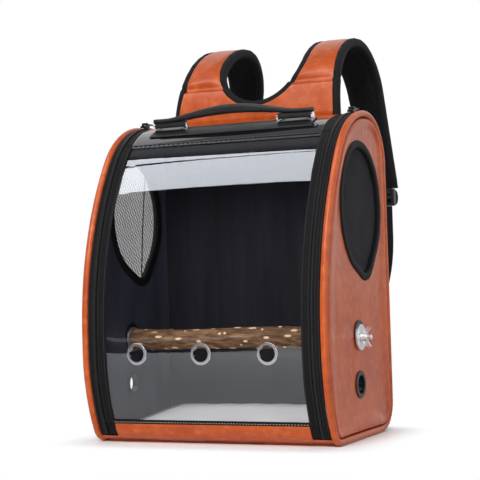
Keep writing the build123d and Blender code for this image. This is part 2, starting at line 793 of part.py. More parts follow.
for side, sign in sides:
    # Front half of a strap, from the seam to the top of the arch
    with BuildPart() as strap_front:
        with BuildSketch(Plane.YZ.offset(-yoke_foot_half_width)):
            add(front_arch_face())
        extrude(amount=2 * yoke_foot_half_width)
        with BuildSketch(yoke_front_plane):
            with BuildLine():
                seam_x = sqrt(neck_radius**2 - (neck_z - yoke_seam_height - sewn_gap) ** 2)
                neck_mid_x = neck_radius * cos(radians(18))
                neck_mid_z = neck_z - neck_radius * sin(radians(18))
                ThreePointArc(
                    (sign * seam_x, yoke_seam_height + sewn_gap),
                    (sign * neck_mid_x, neck_mid_z),
                    (sign * neck_radius, neck_z),
                )
                Polyline(
                    (sign * neck_radius, neck_z),
                    (sign * neck_radius, far),
                    (sign * strap_top_half_width, far),
                    (sign * strap_top_half_width, arch_top_z),
                    (sign * yoke_seam_half_width, yoke_seam_height + sewn_gap),
                    (sign * seam_x, yoke_seam_height + sewn_gap),
                )
            make_face()
        extrude(amount=far, mode=Mode.INTERSECT)

    # Rear half, splayed outwards as it comes down
    with BuildPart() as strap_back:
        with BuildSketch(Plane.YZ.offset(-strap_end_outer_x)):
            add(back_arch_face())
        extrude(amount=2 * strap_end_outer_x)
        with BuildSketch(Plane.XZ):
            with BuildLine():
                Polyline(
                    (sign * neck_radius, far),
                    (sign * strap_top_half_width, far),
                    (sign * strap_top_half_width, arch_top_z - half_pad),
                    (sign * strap_end_outer_x, strap_end_height),
                    (sign * strap_end_inner_x, strap_end_height),
                    (sign * neck_radius, arch_top_z - half_pad),
                    close=True,
                )
            make_face()
        extrude(amount=-far, mode=Mode.INTERSECT)

    with BuildPart() as shoulder_strap:
        add(strap_front.part)
        add(strap_back.part)
    save(shoulder_strap, f"shoulder_strap_{side}")

    # Ladder lock at the end of the strap: a frame with two slots
    with BuildPart() as ladder_lock:
        with BuildSketch(Plane.XZ.offset(-strap_back_y - lock_thickness / 2)):
            with Locations((sign * webbing_x, lock_top - lock_height / 2)):
                RectangleRounded(lock_width, lock_height, 3)
                with GridLocations(0, lock_height / 2 - 1, 1, 2):
                    Rectangle(lock_width - 2 * lock_bar, lock_height / 2 - lock_bar - 1, mode=Mode.SUBTRACT)
        extrude(amount=lock_thickness)
        fillet(ladder_lock.edges().group_by(Axis.Y)[-1], radius=0.8)
        fillet(ladder_lock.edges().group_by(Axis.Y)[0], radius=0.8)
    save(ladder_lock, f"ladder_lock_{side}")

    # Lower webbing, from under the lock down to the heel of the shell
    anchor_face_y = back_y - skin_inset + sewn_gap + anchor_thickness
    webbing_end_y = anchor_face_y + sewn_gap + webbing_thickness / 2
    with BuildPart() as lower_webbing:
        with BuildLine(Plane.YZ.offset(sign * webbing_x)) as webbing_path:
            FilletPolyline(
                (strap_back_y, lock_low - seam_gap),
                (strap_back_y, lock_low - webbing_elbow_drop),
                webbing_knee,
                (webbing_end_y, anchor_high + 8),
                (webbing_end_y, anchor_low + 8),
                radius=webbing_bends,
            )
        with BuildSketch(
            Plane(origin=webbing_path.line @ 0, x_dir=(1, 0, 0), z_dir=webbing_path.line % 0)
        ):
            Rectangle(webbing_width, webbing_thickness)
        sweep(path=webbing_path.line)
    save(lower_webbing, f"lower_webbing_{side}")

    # Spare end of the webbing, rolled up and held behind the lock
    roll_y = strap_back_y + lock_thickness / 2 + seam_gap + roll_radius
    with BuildPart() as webbing_roll:
        with BuildSketch(
            wall_plane(sign, webbing_x - webbing_width / 2, roll_y, lock_top - lock_height / 2)
        ):
            Circle(roll_radius)
        extrude(amount=webbing_width)
    save(webbing_roll, f"webbing_roll_{side}")

    # Anchor patch sewn to the back wall
    with BuildPart() as strap_anchor:
        with BuildSketch(Plane.XZ.offset(-back_y + skin_inset - sewn_gap)):
            with Locations((sign * webbing_x, (anchor_low + anchor_high) / 2)):
                RectangleRounded(anchor_width, anchor_high - anchor_low, 6)
        extrude(amount=-anchor_thickness)
    save(strap_anchor, f"strap_anchor_{side}")

# ------------------------------------------------------------------ back padding and inside
with BuildPart() as back_pad:
    with BuildSketch(Plane.XZ.offset(-back_y + skin_inset - sewn_gap)):
        with Locations((0, (back_pad_low + back_pad_high) / 2)):
            RectangleRounded(back_pad_width, back_pad_high - back_pad_low, back_pad_round)
    extrude(amount=-back_pad_thickness)
    fillet(back_pad.edges().group_by(Axis.Y)[-1], radius=back_pad_thickness / 2)
save(back_pad, "back_pad")

# Lining in front of the back wall
back_lining_y = back_y - leather_inner_inset - sewn_gap
back_lining_low = back_bottom[1] + 2 * seam_gap
with BuildPart() as back_lining:
    with BuildSketch(Plane.XZ.offset(-back_lining_y)):
        with Locations((0, (back_lining_low + back_top[1]) / 2)):
            RectangleRounded(
                2 * (lining_inner_x - seam_gap), back_top[1] - back_lining_low - seam_gap, 4
            )
    extrude(amount=back_lining_thickness)
save(back_lining, "back_lining")

# Stiff board on the base, cut to the flat between the two corners
board_front_y = corner_y
board_back_y = back_bottom[0]
with BuildPart() as floor_board:
    with BuildSketch(Plane.XY.offset(leather_inner_inset + seam_gap)):
        with Locations((0, (board_front_y + board_back_y) / 2)):
            RectangleRounded(2 * (lining_inner_x - 2), board_back_y - board_front_y, 6)
    extrude(amount=floor_board_thickness)
save(floor_board, "floor_board")

# Absorbent mat, loose: it stands on the board in front and leans on the turned-up heel behind
mat_low = board_top + seam_gap
mat_front_y = board_front_y - mat_front_overhang
mat_back_y = back_lining_y - back_lining_thickness - mat_back_gap
heel_reach = back_bottom_radius - leather_inner_inset - seam_gap
heel_drop = sqrt(heel_reach**2 - (mat_back_y - back_bottom[0]) ** 2)
mat_run = mat_back_y - mat_front_y
mat_rise = back_bottom[1] - heel_drop - mat_low
mat_length = sqrt(mat_run**2 + mat_rise**2)
mat_up = (0, -mat_rise, mat_run)
with BuildPart() as mat:
    with BuildSketch(Plane((0, mat_front_y, mat_low), x_dir=(1, 0, 0), z_dir=mat_up)):
        with Locations((0, mat_length / 2)):
            RectangleRounded(mat_width, mat_length, mat_corner_radius)
    extrude(amount=mat_thickness)
    mat_face_edges = mat.edges().group_by(Axis((0, 0, 0), mat_up))[-1]
    fillet(mat_face_edges, radius=mat_thickness / 3)
save(mat, "floor_mat")

# ------------------------------------------------------------------ perch
with BuildPart() as perch:
    with BuildSketch(Plane.YZ.offset(-perch_half_length)):
        with Locations((perch_y, perch_z)):
            Circle(perch_radius)
    extrude(amount=2 * perch_half_length)
    fillet(perch.edges().filter_by(GeomType.CIRCLE), radius=perch_end_round)
    for side, sign in sides:
        hole_x = perch_half_length - bolt_embedded - seam_gap
        with BuildSketch(wall_plane(sign, hole_x, perch_y, perch_z)):
            Circle(bolt_radius + 0.05)
        extrude(amount=bolt_embedded + 1, mode=Mode.SUBTRACT)
save(perch, "perch_branch")

with BuildPart() as washers:
    for side, sign in sides:
        for washer_x in (inner_washer_x, outer_washer_x):
            with BuildSketch(wall_plane(sign, washer_x, perch_y, perch_z)):
                Circle(washer_radius)
                Circle(bolt_radius + washer_clearance, mode=Mode.SUBTRACT)
            extrude(amount=washer_thickness)
save(washers, "perch_washers")

bolt_tip_x = outer_washer_x + washer_thickness + bolt_proud
for side, sign in sides:
    with BuildPart() as bolt:
        with BuildSketch(wall_plane(sign, perch_half_length - bolt_embedded, perch_y, perch_z)):
            Circle(bolt_radius)
        extrude(amount=bolt_tip_x - perch_half_length + bolt_embedded)
        chamfer(bolt.faces().sort_by(Axis.X)[-1 if sign > 0 else 0].edges(), length=0.6)
    save(bolt, f"perch_bolt_{side}")

    # Wing nut: a tapered hub with two upswept wings
    with BuildPart() as wing_nut:
        with BuildSketch(wall_plane(sign, nut_x, perch_y, perch_z)):
            Circle(nut_hub_radius)
        extrude(amount=nut_hub_height, taper=8)
        with BuildSketch(Plane.XZ.offset(-perch_y - nut_wing_thickness / 2)):
            for up in (-1, 1):
                with BuildLine():
                    Polyline(
                        (sign * (nut_x + 0.8), perch_z + up * (bolt_radius - 0.5)),
                        (sign * (nut_x + 2.5), perch_z + up * (nut_wing_reach - 4.5)),
                        (sign * (nut_x + nut_wing_height - 4), perch_z + up * nut_wing_reach),
                        (sign * (nut_x + nut_wing_height), perch_z + up * (nut_wing_reach - 1.5)),
                        (sign * (nut_x + nut_hub_height + 1), perch_z + up * (nut_hub_radius + 0.5)),
                        (sign * (nut_x + nut_hub_height - 1), perch_z + up * (bolt_radius - 0.5)),
                        close=True,
                    )
                make_face()
        extrude(amount=nut_wing_thickness)
        with BuildSketch(wall_plane(sign, nut_x - 1, perch_y, perch_z)):
            Circle(bolt_radius + nut_running_clearance)
        extrude(amount=2 * nut_wing_height, mode=Mode.SUBTRACT)
    save(wing_nut, f"wing_nut_{side}")

print(f"cover hinge at y {hinge_y:.3f}, z {hinge_z:.3f}")
print(f"crown centre at y {crown[0]:.3f}, z {crown[1]:.3f}")
print(f"slider pull pin at y {pull_pin[0]:.3f}, z {pull_pin[1]:.3f}")
print(f"handle pin at y {pin_y:.3f}, z {pin_z:.3f}")
print(f"slider travel {90 - (180 - brow_end) - slider_park_angle - slider_span_angle:.2f} degrees")
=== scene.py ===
import bmesh
import bpy
import numpy as np
from mathutils import Matrix, Vector


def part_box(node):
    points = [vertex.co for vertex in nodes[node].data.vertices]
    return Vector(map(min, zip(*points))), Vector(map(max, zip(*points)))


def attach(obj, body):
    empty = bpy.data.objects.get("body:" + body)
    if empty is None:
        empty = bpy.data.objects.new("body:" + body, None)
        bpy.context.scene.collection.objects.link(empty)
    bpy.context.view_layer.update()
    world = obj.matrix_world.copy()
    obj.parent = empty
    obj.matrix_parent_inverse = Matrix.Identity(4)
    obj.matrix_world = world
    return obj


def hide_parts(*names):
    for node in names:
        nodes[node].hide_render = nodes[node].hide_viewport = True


# A bird travel carrier: a D-profiled backpack with a clear front, mesh windows and a perch.
# Metres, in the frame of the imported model. The carrier is put together section by section.

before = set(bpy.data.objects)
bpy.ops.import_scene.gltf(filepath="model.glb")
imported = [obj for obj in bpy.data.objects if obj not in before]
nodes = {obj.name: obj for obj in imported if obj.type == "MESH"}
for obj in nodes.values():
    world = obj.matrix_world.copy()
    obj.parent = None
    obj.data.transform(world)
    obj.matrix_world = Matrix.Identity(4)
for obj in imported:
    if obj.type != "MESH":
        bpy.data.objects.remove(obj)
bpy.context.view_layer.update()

# ---------------------------------------------------------------- studio
# A pale floor in a white surround, lamps with soft faces, and a tall light panel in front of
# dark boards, which the clear cover mirrors. The camera stands a little to the right.

camera_place = np.array((0.7925, -1.6891, 0.2175))
camera_yaw, camera_pitch, camera_roll = np.radians((24.98, -1.0, -1.87))
focal_length_px = 1463.0
picture_px = 480.0
sensor_width = 36.0

ahead = np.array((
    -np.sin(camera_yaw) * np.cos(camera_pitch),
    np.cos(camera_yaw) * np.cos(camera_pitch),
    -np.sin(camera_pitch),
))
level = np.array((np.cos(camera_yaw), np.sin(camera_yaw), 0.0))
above = np.cross(level, ahead)
right_hand = np.cos(camera_roll) * level + np.sin(camera_roll) * above
overhead = np.cross(right_hand, ahead)
view = Matrix.Identity(4)
for column, axis in enumerate((right_hand, overhead, -ahead)):
    view.col[column][:3] = axis
view.translation = Vector(camera_place)
camera = bpy.data.objects.new("camera", bpy.data.cameras.new("camera"))
camera.data.sensor_width = sensor_width
camera.data.lens = focal_length_px / picture_px * sensor_width
camera.matrix_world = view
bpy.context.scene.collection.objects.link(camera)
bpy.context.scene.camera = camera
bpy.context.scene.view_settings.view_transform = "Standard"


class Value:
    """A number or colour on its way along a link, so that shader maths reads as an expression."""

    def __init__(self, shading, socket):
        self.shading = shading
        self.socket = socket

    def maths(self, operation, *others):
        values = dict(enumerate((self, *others)))
        return self.shading.node("ShaderNodeMath", {"operation": operation}, values)

    def swapped(self, operation, other):
        return self.shading.node("ShaderNodeMath", {"operation": operation}, {0: other, 1: self})

    def __add__(self, other):
        return self.maths("ADD", other)

    __radd__ = __add__

    def __mul__(self, other):
        return self.maths("MULTIPLY", other)

    __rmul__ = __mul__

    def __sub__(self, other):
        return self.maths("SUBTRACT", other)

    def __rsub__(self, other):
        return self.swapped("SUBTRACT", other)

    def __pow__(self, other):
        return self.maths("POWER", other)

    def sine(self):
        return self.maths("SINE")

    def size(self):
        return self.maths("ABSOLUTE")

    def larger(self, other):
        return self.maths("MAXIMUM", other)

    def above(self, level, softness):
        """0 well under level, 1 well over it, and a smooth step between."""
        ends = {"Value": self, "From Min": level - softness, "From Max": level + softness}
        return self.shading.node("ShaderNodeMapRange", {"interpolation_type": "SMOOTHSTEP"}, ends)


class Shading:
    """The nodes of the world or of a material: one method makes any of them."""

    def __init__(self, tree):
        self.tree = tree

    def fill(self, socket, value):
        if isinstance(value, Value):
            self.tree.links.new(value.socket, socket)
        else:
            socket.default_value = value

    def node(self, kind, settings=None, inputs=None, output=0):
        """A new node: its settings come first, then the values or links of its sockets."""
        made = self.tree.nodes.new(kind)
        for name, setting in (settings or {}).items():
            setattr(made, name, setting)
        for name, value in (inputs or {}).items():
            self.fill(made.inputs[name], value)
        return Value(self, made.outputs[output])


class Finish(Shading):
    """One material: a Principled shader, and the nodes that vary it over the surface."""

    def __init__(self, name, colour, roughness, **constants):
        self.material = bpy.data.materials.new(name)
        self.material.use_nodes = True
        super().__init__(self.material.node_tree)
        self.shader = self.tree.nodes["Principled BSDF"]
        self.put("Base Color", (*colour, 1.0))
        self.put("Roughness", roughness)
        for socket, value in constants.items():
            self.put(socket.replace("_", " "), value)

    def put(self, socket, value):
        self.fill(self.shader.inputs[socket], value)

    def tint(self, share, first, second):
        """Colours the surface: first where share is 0, second where it is 1."""
        self.put("Base Color", self.mix(share, first, second))

    def relief(self, height, depth, fine=False):
        """Gives the surface a relief of depth metres, fine relief on top of what it has."""
        self.normal = self.emboss(height, depth, self.normal if fine else None)
        self.put("Normal", self.normal)

    def place(self):
        """Where the point is on the object, in metres."""
        return self.node("ShaderNodeTexCoord", output="Object")

    def apart(self, vector):
        """The three numbers of a vector."""
        split = self.node("ShaderNodeSeparateXYZ", inputs={0: vector}).socket.node
        return [Value(self, output) for output in split.outputs]

    def cloth(self):
        """Where the point is on the flat cut of the piece, in metres: across, then along."""
        return self.apart(self.node("ShaderNodeUVMap", {"uv_map": "cut"}))[:2]

    def noise(self, size, detail=3.0, roughness=0.5, vector=None, distortion=0.0):
        """Soft blotches about size metres across, from 0 to 1."""
        inputs = {"Vector": vector or self.place(), "Scale": 1.0 / size, "Detail": detail,
                  "Roughness": roughness, "Distortion": distortion}
        return self.node("ShaderNodeTexNoise", {}, inputs, "Fac")

    def cells(self, size):
        """How far the point is from the middle of its cell, in cells about size metres across."""
        inputs = {"Vector": self.place(), "Scale": 1.0 / size}
        return self.node("ShaderNodeTexVoronoi", {}, inputs, "Distance")

    def stretched(self, sizes):
        """Object coordinates in units of sizes, so that a pattern is drawn out along an axis."""
        scale = tuple(1.0 / size for size in sizes)
        settings = {"operation": "MULTIPLY"}
        return self.node("ShaderNodeVectorMath", settings, {0: self.place(), 1: scale}, "Vector")

    def mix(self, share, first, second):
        """first where share is 0 and second where it is 1, as colours."""
        first, second = (v if isinstance(v, Value) else (*v, 1.0) for v in (first, second))
        inputs = {"Factor": share, 6: first, 7: second}
        return self.node("ShaderNodeMix", {"data_type": "RGBA"}, inputs, 2)

    def emboss(self, height, depth, normal=None):
        """Relief of depth metres, on top of any relief already made."""
        inputs = {"Height": height, "Distance": depth, "Strength": 1.0}
        if normal is not None:
            inputs["Normal"] = normal
        return self.node("ShaderNodeBump", {}, inputs)


def screen(red, green, blue):
    """A colour as seen on a screen, 0 to 255, as the linear one that shaders take."""
    channel = np.array((red, green, blue)) / 255.0
    linear = np.where(channel > 0.04045, ((channel + 0.055) / 1.055) ** 2.4, channel / 12.92)
    return tuple(float(v) for v in linear)


def card(name, corners, finish):
    """A flat board of the studio, by its four corners."""
    mesh = bpy.data.meshes.new(name)
    mesh.from_pydata([tuple(corner) for corner in corners], [], [(0, 1, 2, 3)])
    mesh.materials.append(finish.material)
    board = bpy.data.objects.new(name, mesh)
    bpy.context.scene.collection.objects.link(board)
    return board


floor_reach = 9.0
floor_finish = Finish("pale floor", screen(247, 247, 248), 0.6)
floor_place = floor_finish.apart(floor_finish.place())
# All but the floor close round the carrier's foot, where its shadow lies, glows white.
shadow_tightness = (6.0, 9.0)
floor_across, floor_along = (way.size() * tight for way, tight in zip(floor_place, shadow_tightness))
floor_distance = (floor_across**6.0 + floor_along**6.0) ** (1 / 6)
floor_seen = floor_finish.node("ShaderNodeLightPath")
white = (1.0, 1.0, 1.0, 1.0)
floor_glow = floor_finish.node("ShaderNodeEmission", {}, {"Color": white, "Strength": 1.0})
floor_fade = floor_finish.node("ShaderNodeMixShader", {}, {
    0: floor_distance.above(1.16, 0.20) * floor_seen,
    1: Value(floor_finish, floor_finish.shader.outputs[0]),
    2: floor_glow,
})
floor_finish.tree.links.new(floor_fade.socket, floor_finish.tree.nodes["Material Output"].inputs[0])
floor_corners = [(x * floor_reach, y * floor_reach, 0.0) for x, y in ((-1, -1), (1, -1), (1, 1), (-1, 1))]
card("floor", floor_corners, floor_finish)

world = bpy.data.worlds.new("white surround")
bpy.context.scene.world = world
world.use_nodes = True
surround = Shading(world.node_tree)
camera_ray, glossy_ray, through_ray = (surround.node("ShaderNodeLightPath", output=f"Is {ray} Ray")
                                       for ray in ("Camera", "Glossy", "Transmission"))
seen = camera_ray.larger(glossy_ray).larger(through_ray)
dull_light = 0.28
background = world.node_tree.nodes["Background"]
surround.fill(background.inputs["Color"], white)
surround.fill(background.inputs["Strength"], dull_light + (1.0 - dull_light) * seen)


def soft_box(name, place, target, size, power, mirrored=True):
    """A rectangular area light that faces its target; polished faces mirror it only where mirrored."""
    lamp = bpy.data.lights.new(name, "AREA")
    lamp.shape = "RECTANGLE"
    lamp.size, lamp.size_y = size
    lamp.energy = power
    box = bpy.data.objects.new(name, lamp)
    box.location = place
    box.rotation_euler = (Vector(target) - Vector(place)).to_track_quat("-Z", "Y").to_euler()
    box.visible_glossy = mirrored
    bpy.context.scene.collection.objects.link(box)


soft_box("key_box", (0.1, -2.2, 1.9), (0.0, 0.0, 0.2), (1.5, 1.1), 62.0)
soft_box("side_box", (2.3, -0.4, 1.0), (0.1, 0.0, 0.25), (1.0, 1.3), 6.0)
soft_box("edge_box", (1.35, -1.75, 0.6), (0.1, 0.0, 0.25), (0.30, 1.6), 7.0)
soft_box("low_box", (-0.3, -1.6, 0.5), (0.0, 0.0, 0.05), (0.9, 0.5), 2.5, mirrored=False)

# The boards stand across the way that the cover mirrors, to the left of the front.
mirror_way = np.array((-0.43, -0.90, 0.0))
mirror_side = np.array((0.90, -0.43, 0.0))
mirror_middle = np.array((0.0, -0.08, 0.30))
upright = np.array((0.0, 0.0, 1.0))


def mirror_board(name, finish, ends, distances, left_angles, right_angles):
    """A board that only mirrors see, between two ends across their way.

    Its low and high edges lie at the two distances, and at the given angles above level."""
    corners = []
    for end, angles in zip(ends, (left_angles, right_angles)):
        for distance, turn in zip(distances, np.radians(angles)):
            reach = distance * (np.cos(turn) * mirror_way + np.sin(turn) * upright)
            corners.append(mirror_middle + reach + end * mirror_side)
    board = card(name, [corners[k] for k in (0, 2, 3, 1)], finish)
    for rays in ("camera", "diffuse", "shadow", "transmission", "volume_scatter"):
        setattr(board, f"visible_{rays}", False)


board_black = (0.012, 0.012, 0.016)
board_finish = Finish("dark board", board_black, 0.9, Specular_IOR_Level=0.0)
overhead_finish = Finish("board that pales overhead", board_black, 0.9, Specular_IOR_Level=0.0,
                         Emission_Strength=0.30)
nearness = overhead_finish.apart(overhead_finish.place())[1].above(-0.42, 0.40)
overhead_glow = overhead_finish.mix(nearness, (0.0, 0.0, 0.0), (0.92, 0.93, 1.0))
overhead_finish.put("Emission Color", overhead_glow)
panel_finish = Finish("light panel", (0.0, 0.0, 0.0), 0.9, Emission_Color=(0.93, 0.95, 1.0, 1.0),
                      Emission_Strength=5.6, Specular_IOR_Level=0.0)
for name, low_distance, low_angle, high_angle, finish in (
    ("dark_board_on_floor", 1.75, -9.4, -6.2, board_finish),
    ("dark_board_low", 2.6, -6.0, 60.0, board_finish),
    ("dark_board_high", 2.6, 60.0, 112.0, overhead_finish),
):
    angles = (low_angle, high_angle)
    mirror_board(name, finish, (-1.5, 1.5), (low_distance, 2.6), angles, angles)
mirror_board("light_panel_low", panel_finish, (-1.2, 1.2), (2.3, 2.3), (42.4, 55.0), (71.2, 92.0))
mirror_board("light_panel_high", panel_finish, (-1.2, -0.2), (2.3, 2.3), (56.2, 66.0), (71.3, 71.7))

# ---------------------------------------------------------------- shell outline
# Every wall follows one D-shaped outline, seen from the side: arcs that touch each other,
# joined by short straight runs. It is measured on the crest of the rolled side rims.

heel_radius, shoulder_radius, crown_radius = 0.040, 0.065, 0.118
high_radius, low_radius, toe_radius = 0.400, 0.240, 0.026
low_height = 0.115
rim_low, rim_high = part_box("side_rim_right")
front_y, back_y, crest_z = rim_low.y, rim_high.y, rim_high.z
outer_x = rim_high.x

crown_centre = (back_y - shoulder_radius, crest_z - crown_radius)
high_drop = np.sqrt((high_radius - crown_radius) ** 2 - (front_y + high_radius - crown_centre[0]) ** 2)
high_centre = (front_y + high_radius, crown_centre[1] - high_drop)
toe_rise = low_height - toe_radius
toe_y = front_y + low_radius - np.sqrt((low_radius - toe_radius) ** 2 - toe_rise**2)
brow_turn = 180.0 - np.degrees(np.arcsin(high_drop / (high_radius - crown_radius)))
toe_turn = 180.0 + np.degrees(np.arcsin(toe_rise / (low_radius - toe_radius)))
arcs = (
    ((back_y - heel_radius, heel_radius), heel_radius, 270.0, 360.0),
    ((crown_centre[0], crest_z - shoulder_radius), shoulder_radius, 0.0, 90.0),
    (crown_centre, crown_radius, 90.0, brow_turn),
    (high_centre, high_radius, brow_turn, 180.0),
    ((front_y + low_radius, low_height), low_radius, 180.0, toe_turn),
    ((toe_y, toe_radius), toe_radius, toe_turn, 270.0),
)
stations, facings = [], []
for centre, radius, first, last in arcs:
    turn = np.radians(np.linspace(first, last, 400))
    facings.append(np.stack((np.cos(turn), np.sin(turn)), axis=1))
    stations.append(np.array(centre) + radius * facings[-1])
stations.append(stations[0][:1])
facings.append(facings[0][:1])
stations, facings = np.concatenate(stations), np.concatenate(facings)


def run_along(line):
    """How far along a line of points each of them lies."""
    return np.concatenate(([0.0], np.cumsum(np.linalg.norm(np.diff(line, axis=0), axis=1))))


def read_off(at, way, rows, **options):
    """Rows of numbers that are known at each way, read off between them at others."""
    return np.stack([np.interp(at, way, column, **options) for column in rows.T], axis=-1)


travel = run_along(stations)
girth = travel[-1]


def outline(distance):
    """Points (y, z) and outward directions of the side outline, at distances round it from the heel."""
    distance = np.mod(distance, girth)
    facing = read_off(distance, travel, facings)
    return read_off(distance, travel, stations), facing / np.linalg.norm(facing, axis=-1, keepdims=True)


def distance_to(y, z):
    """How far round the outline its nearest point to (y, z) lies."""
    return travel[np.argmin(np.hypot(stations[:, 0] - y, stations[:, 1] - z))]


# ---------------------------------------------------------------- leather
# Smooth coated leather in tan orange with a waxy, marbled colour, pulled over board and foam.
# Base, back, top and the tongues under the zips are flat cuts of it, sewn to the frame.


def dress(finish, *names):
    """Gives CAD nodes that keep their shape a finish."""
    for name in names:
        mesh = nodes[name].data
        mesh.materials.clear()
        mesh.materials.append(finish.material)


def leather_finish(name, colour, dark, pale, roughness):
    """Fine pebble grain, slow marbling from dark to the base colour that also sets the polish and the coat,
    and pale streaks: partly the leather's marbling, partly painted highlight.
    """
    finish = Finish(name, colour, roughness, Specular_IOR_Level=0.28, Coat_Roughness=0.16)
    marbling = finish.noise(0.050, detail=5.0, roughness=0.60, distortion=0.7)
    pale_streaks_and_highlights = finish.noise(0.011, detail=4.0, roughness=0.6)
    body_colour = finish.mix(marbling.above(0.50, 0.22), dark, colour)
    # The pale streaks are partly the leather's own marbling and partly painted highlight.
    body_colour = finish.mix(pale_streaks_and_highlights.above(0.60, 0.18) * 0.45, body_colour, pale)
    finish.put("Base Color", body_colour)
    finish.put("Roughness", roughness - 0.08 + 0.16 * marbling)
    finish.put("Coat Weight", 0.10 + 0.16 * marbling)
    finish.relief(finish.noise(0.020, detail=3.0, distortion=1.2), 0.0004)
    finish.relief(finish.cells(0.0010), 0.00005, fine=True)
    return finish


tan_leather = leather_finish("tan leather", screen(184, 80, 24), screen(162, 61, 12),
                             screen(208, 114, 56), 0.34)
dress(tan_leather, "base_panel", "back_panel", "zip_ends", "top_panel")

# ---------------------------------------------------------------- rolled side rims
# A cord under folded leather, sewn round each side wall. The leather gathers in the bends.

rim_radius = (rim_high.x - rim_low.x) / 2
rim_way = np.linspace(0.0, girth, 900, endpoint=False)[:, None]
sides = (("left", -1.0), ("right", 1.0))


def full_turn(count):
    """Directions once round a circle."""
    return np.linspace(0.0, 2 * np.pi, count, endpoint=False)


def every(*counts):
    """All the whole numbers below the counts, each beside each, as flat arrays."""
    return [numbers.ravel() for numbers in np.indices(counts)]


def in_space(x, side_view):
    """Points (x, y, z), from x and points (y, z) of the side view."""
    x = np.broadcast_to(x, side_view.shape[:-1])
    return np.concatenate((x[..., None], side_view), axis=-1)


def skin(distance, across, inset):
    """Points of a sheet that follows the outline: distance round it, x across it, inset inwards."""
    distance, across, inset = np.broadcast_arrays(distance, across, inset)
    point, facing = outline(distance)
    return in_space(across, point - inset[..., None] * facing)


def closed_mesh(name, points, faces, places=None):
    """A smooth mesh of points and four-cornered faces, welded, with its faces turned outwards."""
    mesh = bpy.data.meshes.new(name)
    mesh.vertices.add(len(points))
    mesh.vertices.foreach_set("co", points.reshape(-1).astype(np.float32))
    mesh.loops.add(faces.size)
    mesh.loops.foreach_set("vertex_index", faces.reshape(-1).astype(np.int32))
    mesh.polygons.add(len(faces))
    mesh.polygons.foreach_set("loop_start", np.arange(0, faces.size, 4, dtype=np.int32))
    mesh.polygons.foreach_set("use_smooth", np.ones(len(faces), dtype=bool))
    mesh.update(calc_edges=True)
    if places is not None:
        cut = mesh.uv_layers.new(name="cut")
        cut.uv.foreach_set("vector", places.reshape(-1).astype(np.float32))
    welded = bmesh.new()
    welded.from_mesh(mesh)
    bmesh.ops.remove_doubles(welded, verts=welded.verts, dist=2e-7)
    bmesh.ops.recalc_face_normals(welded, faces=welded.faces)
    welded.to_mesh(mesh)
    welded.free()
    return mesh


def grid_mesh(name, points, round_rows=False, two_faced=False):
    """A closed mesh from rows of points, in which each four neighbours make a face.

    The last column joins the first, and so does the last row where rows are round. Rows that
    aren't round end in a middle point each, or, on a two-faced sheet, in a line half way between
    its faces. The map named cut gives each corner its place on the flat cut in metres, from the
    mean steps between columns and between rows."""
    if not round_rows:
        ends = [np.broadcast_to(points[k].mean(axis=0), points[k].shape)[None] for k in (0, -1)]
        if two_faced:
            ends = [(points[k] + points[k][::-1])[None] / 2 for k in (0, -1)]
        points = np.concatenate((ends[0], points, ends[1]))
    rows, columns = points.shape[:2]
    across = np.linalg.norm(np.diff(points, axis=1, append=points[:, :1]), axis=2).mean(axis=0)
    along = np.linalg.norm(np.diff(points, axis=0, append=points[:1]), axis=2).mean(axis=1)
    across = np.concatenate(([0.0], np.cumsum(across)))
    along = np.concatenate(([0.0], np.cumsum(along)))
    last_row = rows if round_rows else rows - 1
    row, column = every(last_row, columns)
    corner_rows = np.stack((row, row, row + 1, row + 1), axis=1)
    corner_columns = np.stack((column, column + 1, column + 1, column), axis=1)
    faces = (corner_rows % rows) * columns + corner_columns % columns
    places = np.stack((across[corner_columns], along[corner_rows]), axis=-1)
    return closed_mesh(name, points.reshape(-1, 3), faces, places)


def add_piece(mesh, finish, body="root", replaces=()):
    """Puts a mesh into the scene as a piece that rides on a body and stands for CAD nodes."""
    piece = bpy.data.objects.new(mesh.name, mesh)
    bpy.context.scene.collection.objects.link(piece)
    mesh.materials.append(finish.material)
    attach(piece, body)
    if replaces:
        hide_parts(*replaces)
    return piece


def ripple(*phases):
    """A sum of sines of the given phases, each weaker than the last, within about 1 of zero."""
    return sum(np.sin(phase) / (1.0 + 0.6 * k) for k, phase in enumerate(phases)) / 1.6


def bend_share(distance):
    """1 in the tight bends of the outline at toe, heel and shoulder, falling to 0 away from them."""
    bends = (distance_to(toe_y - 0.020, 0.008), distance_to(back_y - 0.012, 0.012),
             distance_to(back_y - 0.019, crest_z - 0.019))
    away = [np.abs(np.mod(distance - bend + girth / 2, girth) - girth / 2) for bend in bends]
    return sum(np.exp(-((gap / 0.028) ** 2)) for gap in away)


rim_turn = full_turn(24)
for side, sign in sides:
    gathers = bend_share(rim_way) * np.sin(rim_way / 0.0036 * np.pi) * (0.5 + 0.5 * np.cos(rim_turn - 0.6))
    slack = ripple(rim_way / 0.031 + 2 * sign, rim_way / 0.017 + rim_turn, rim_way / 0.0094 - rim_turn)
    swell = rim_radius * (0.955 + 0.016 * slack + 0.040 * gathers)
    across = sign * (outer_x - rim_radius + swell * np.sin(rim_turn))
    points = skin(rim_way, across, rim_radius - swell * np.cos(rim_turn))
    add_piece(grid_mesh(f"rolled_rim_{side}", points, round_rows=True), tan_leather,
              replaces=[f"side_rim_{side}"])

# ---------------------------------------------------------------- side walls
# Leather over stiff board. Its padded edge rolls into the seam beside the rim, and the face
# is cut out for the window. The lower grommet goes right through it.

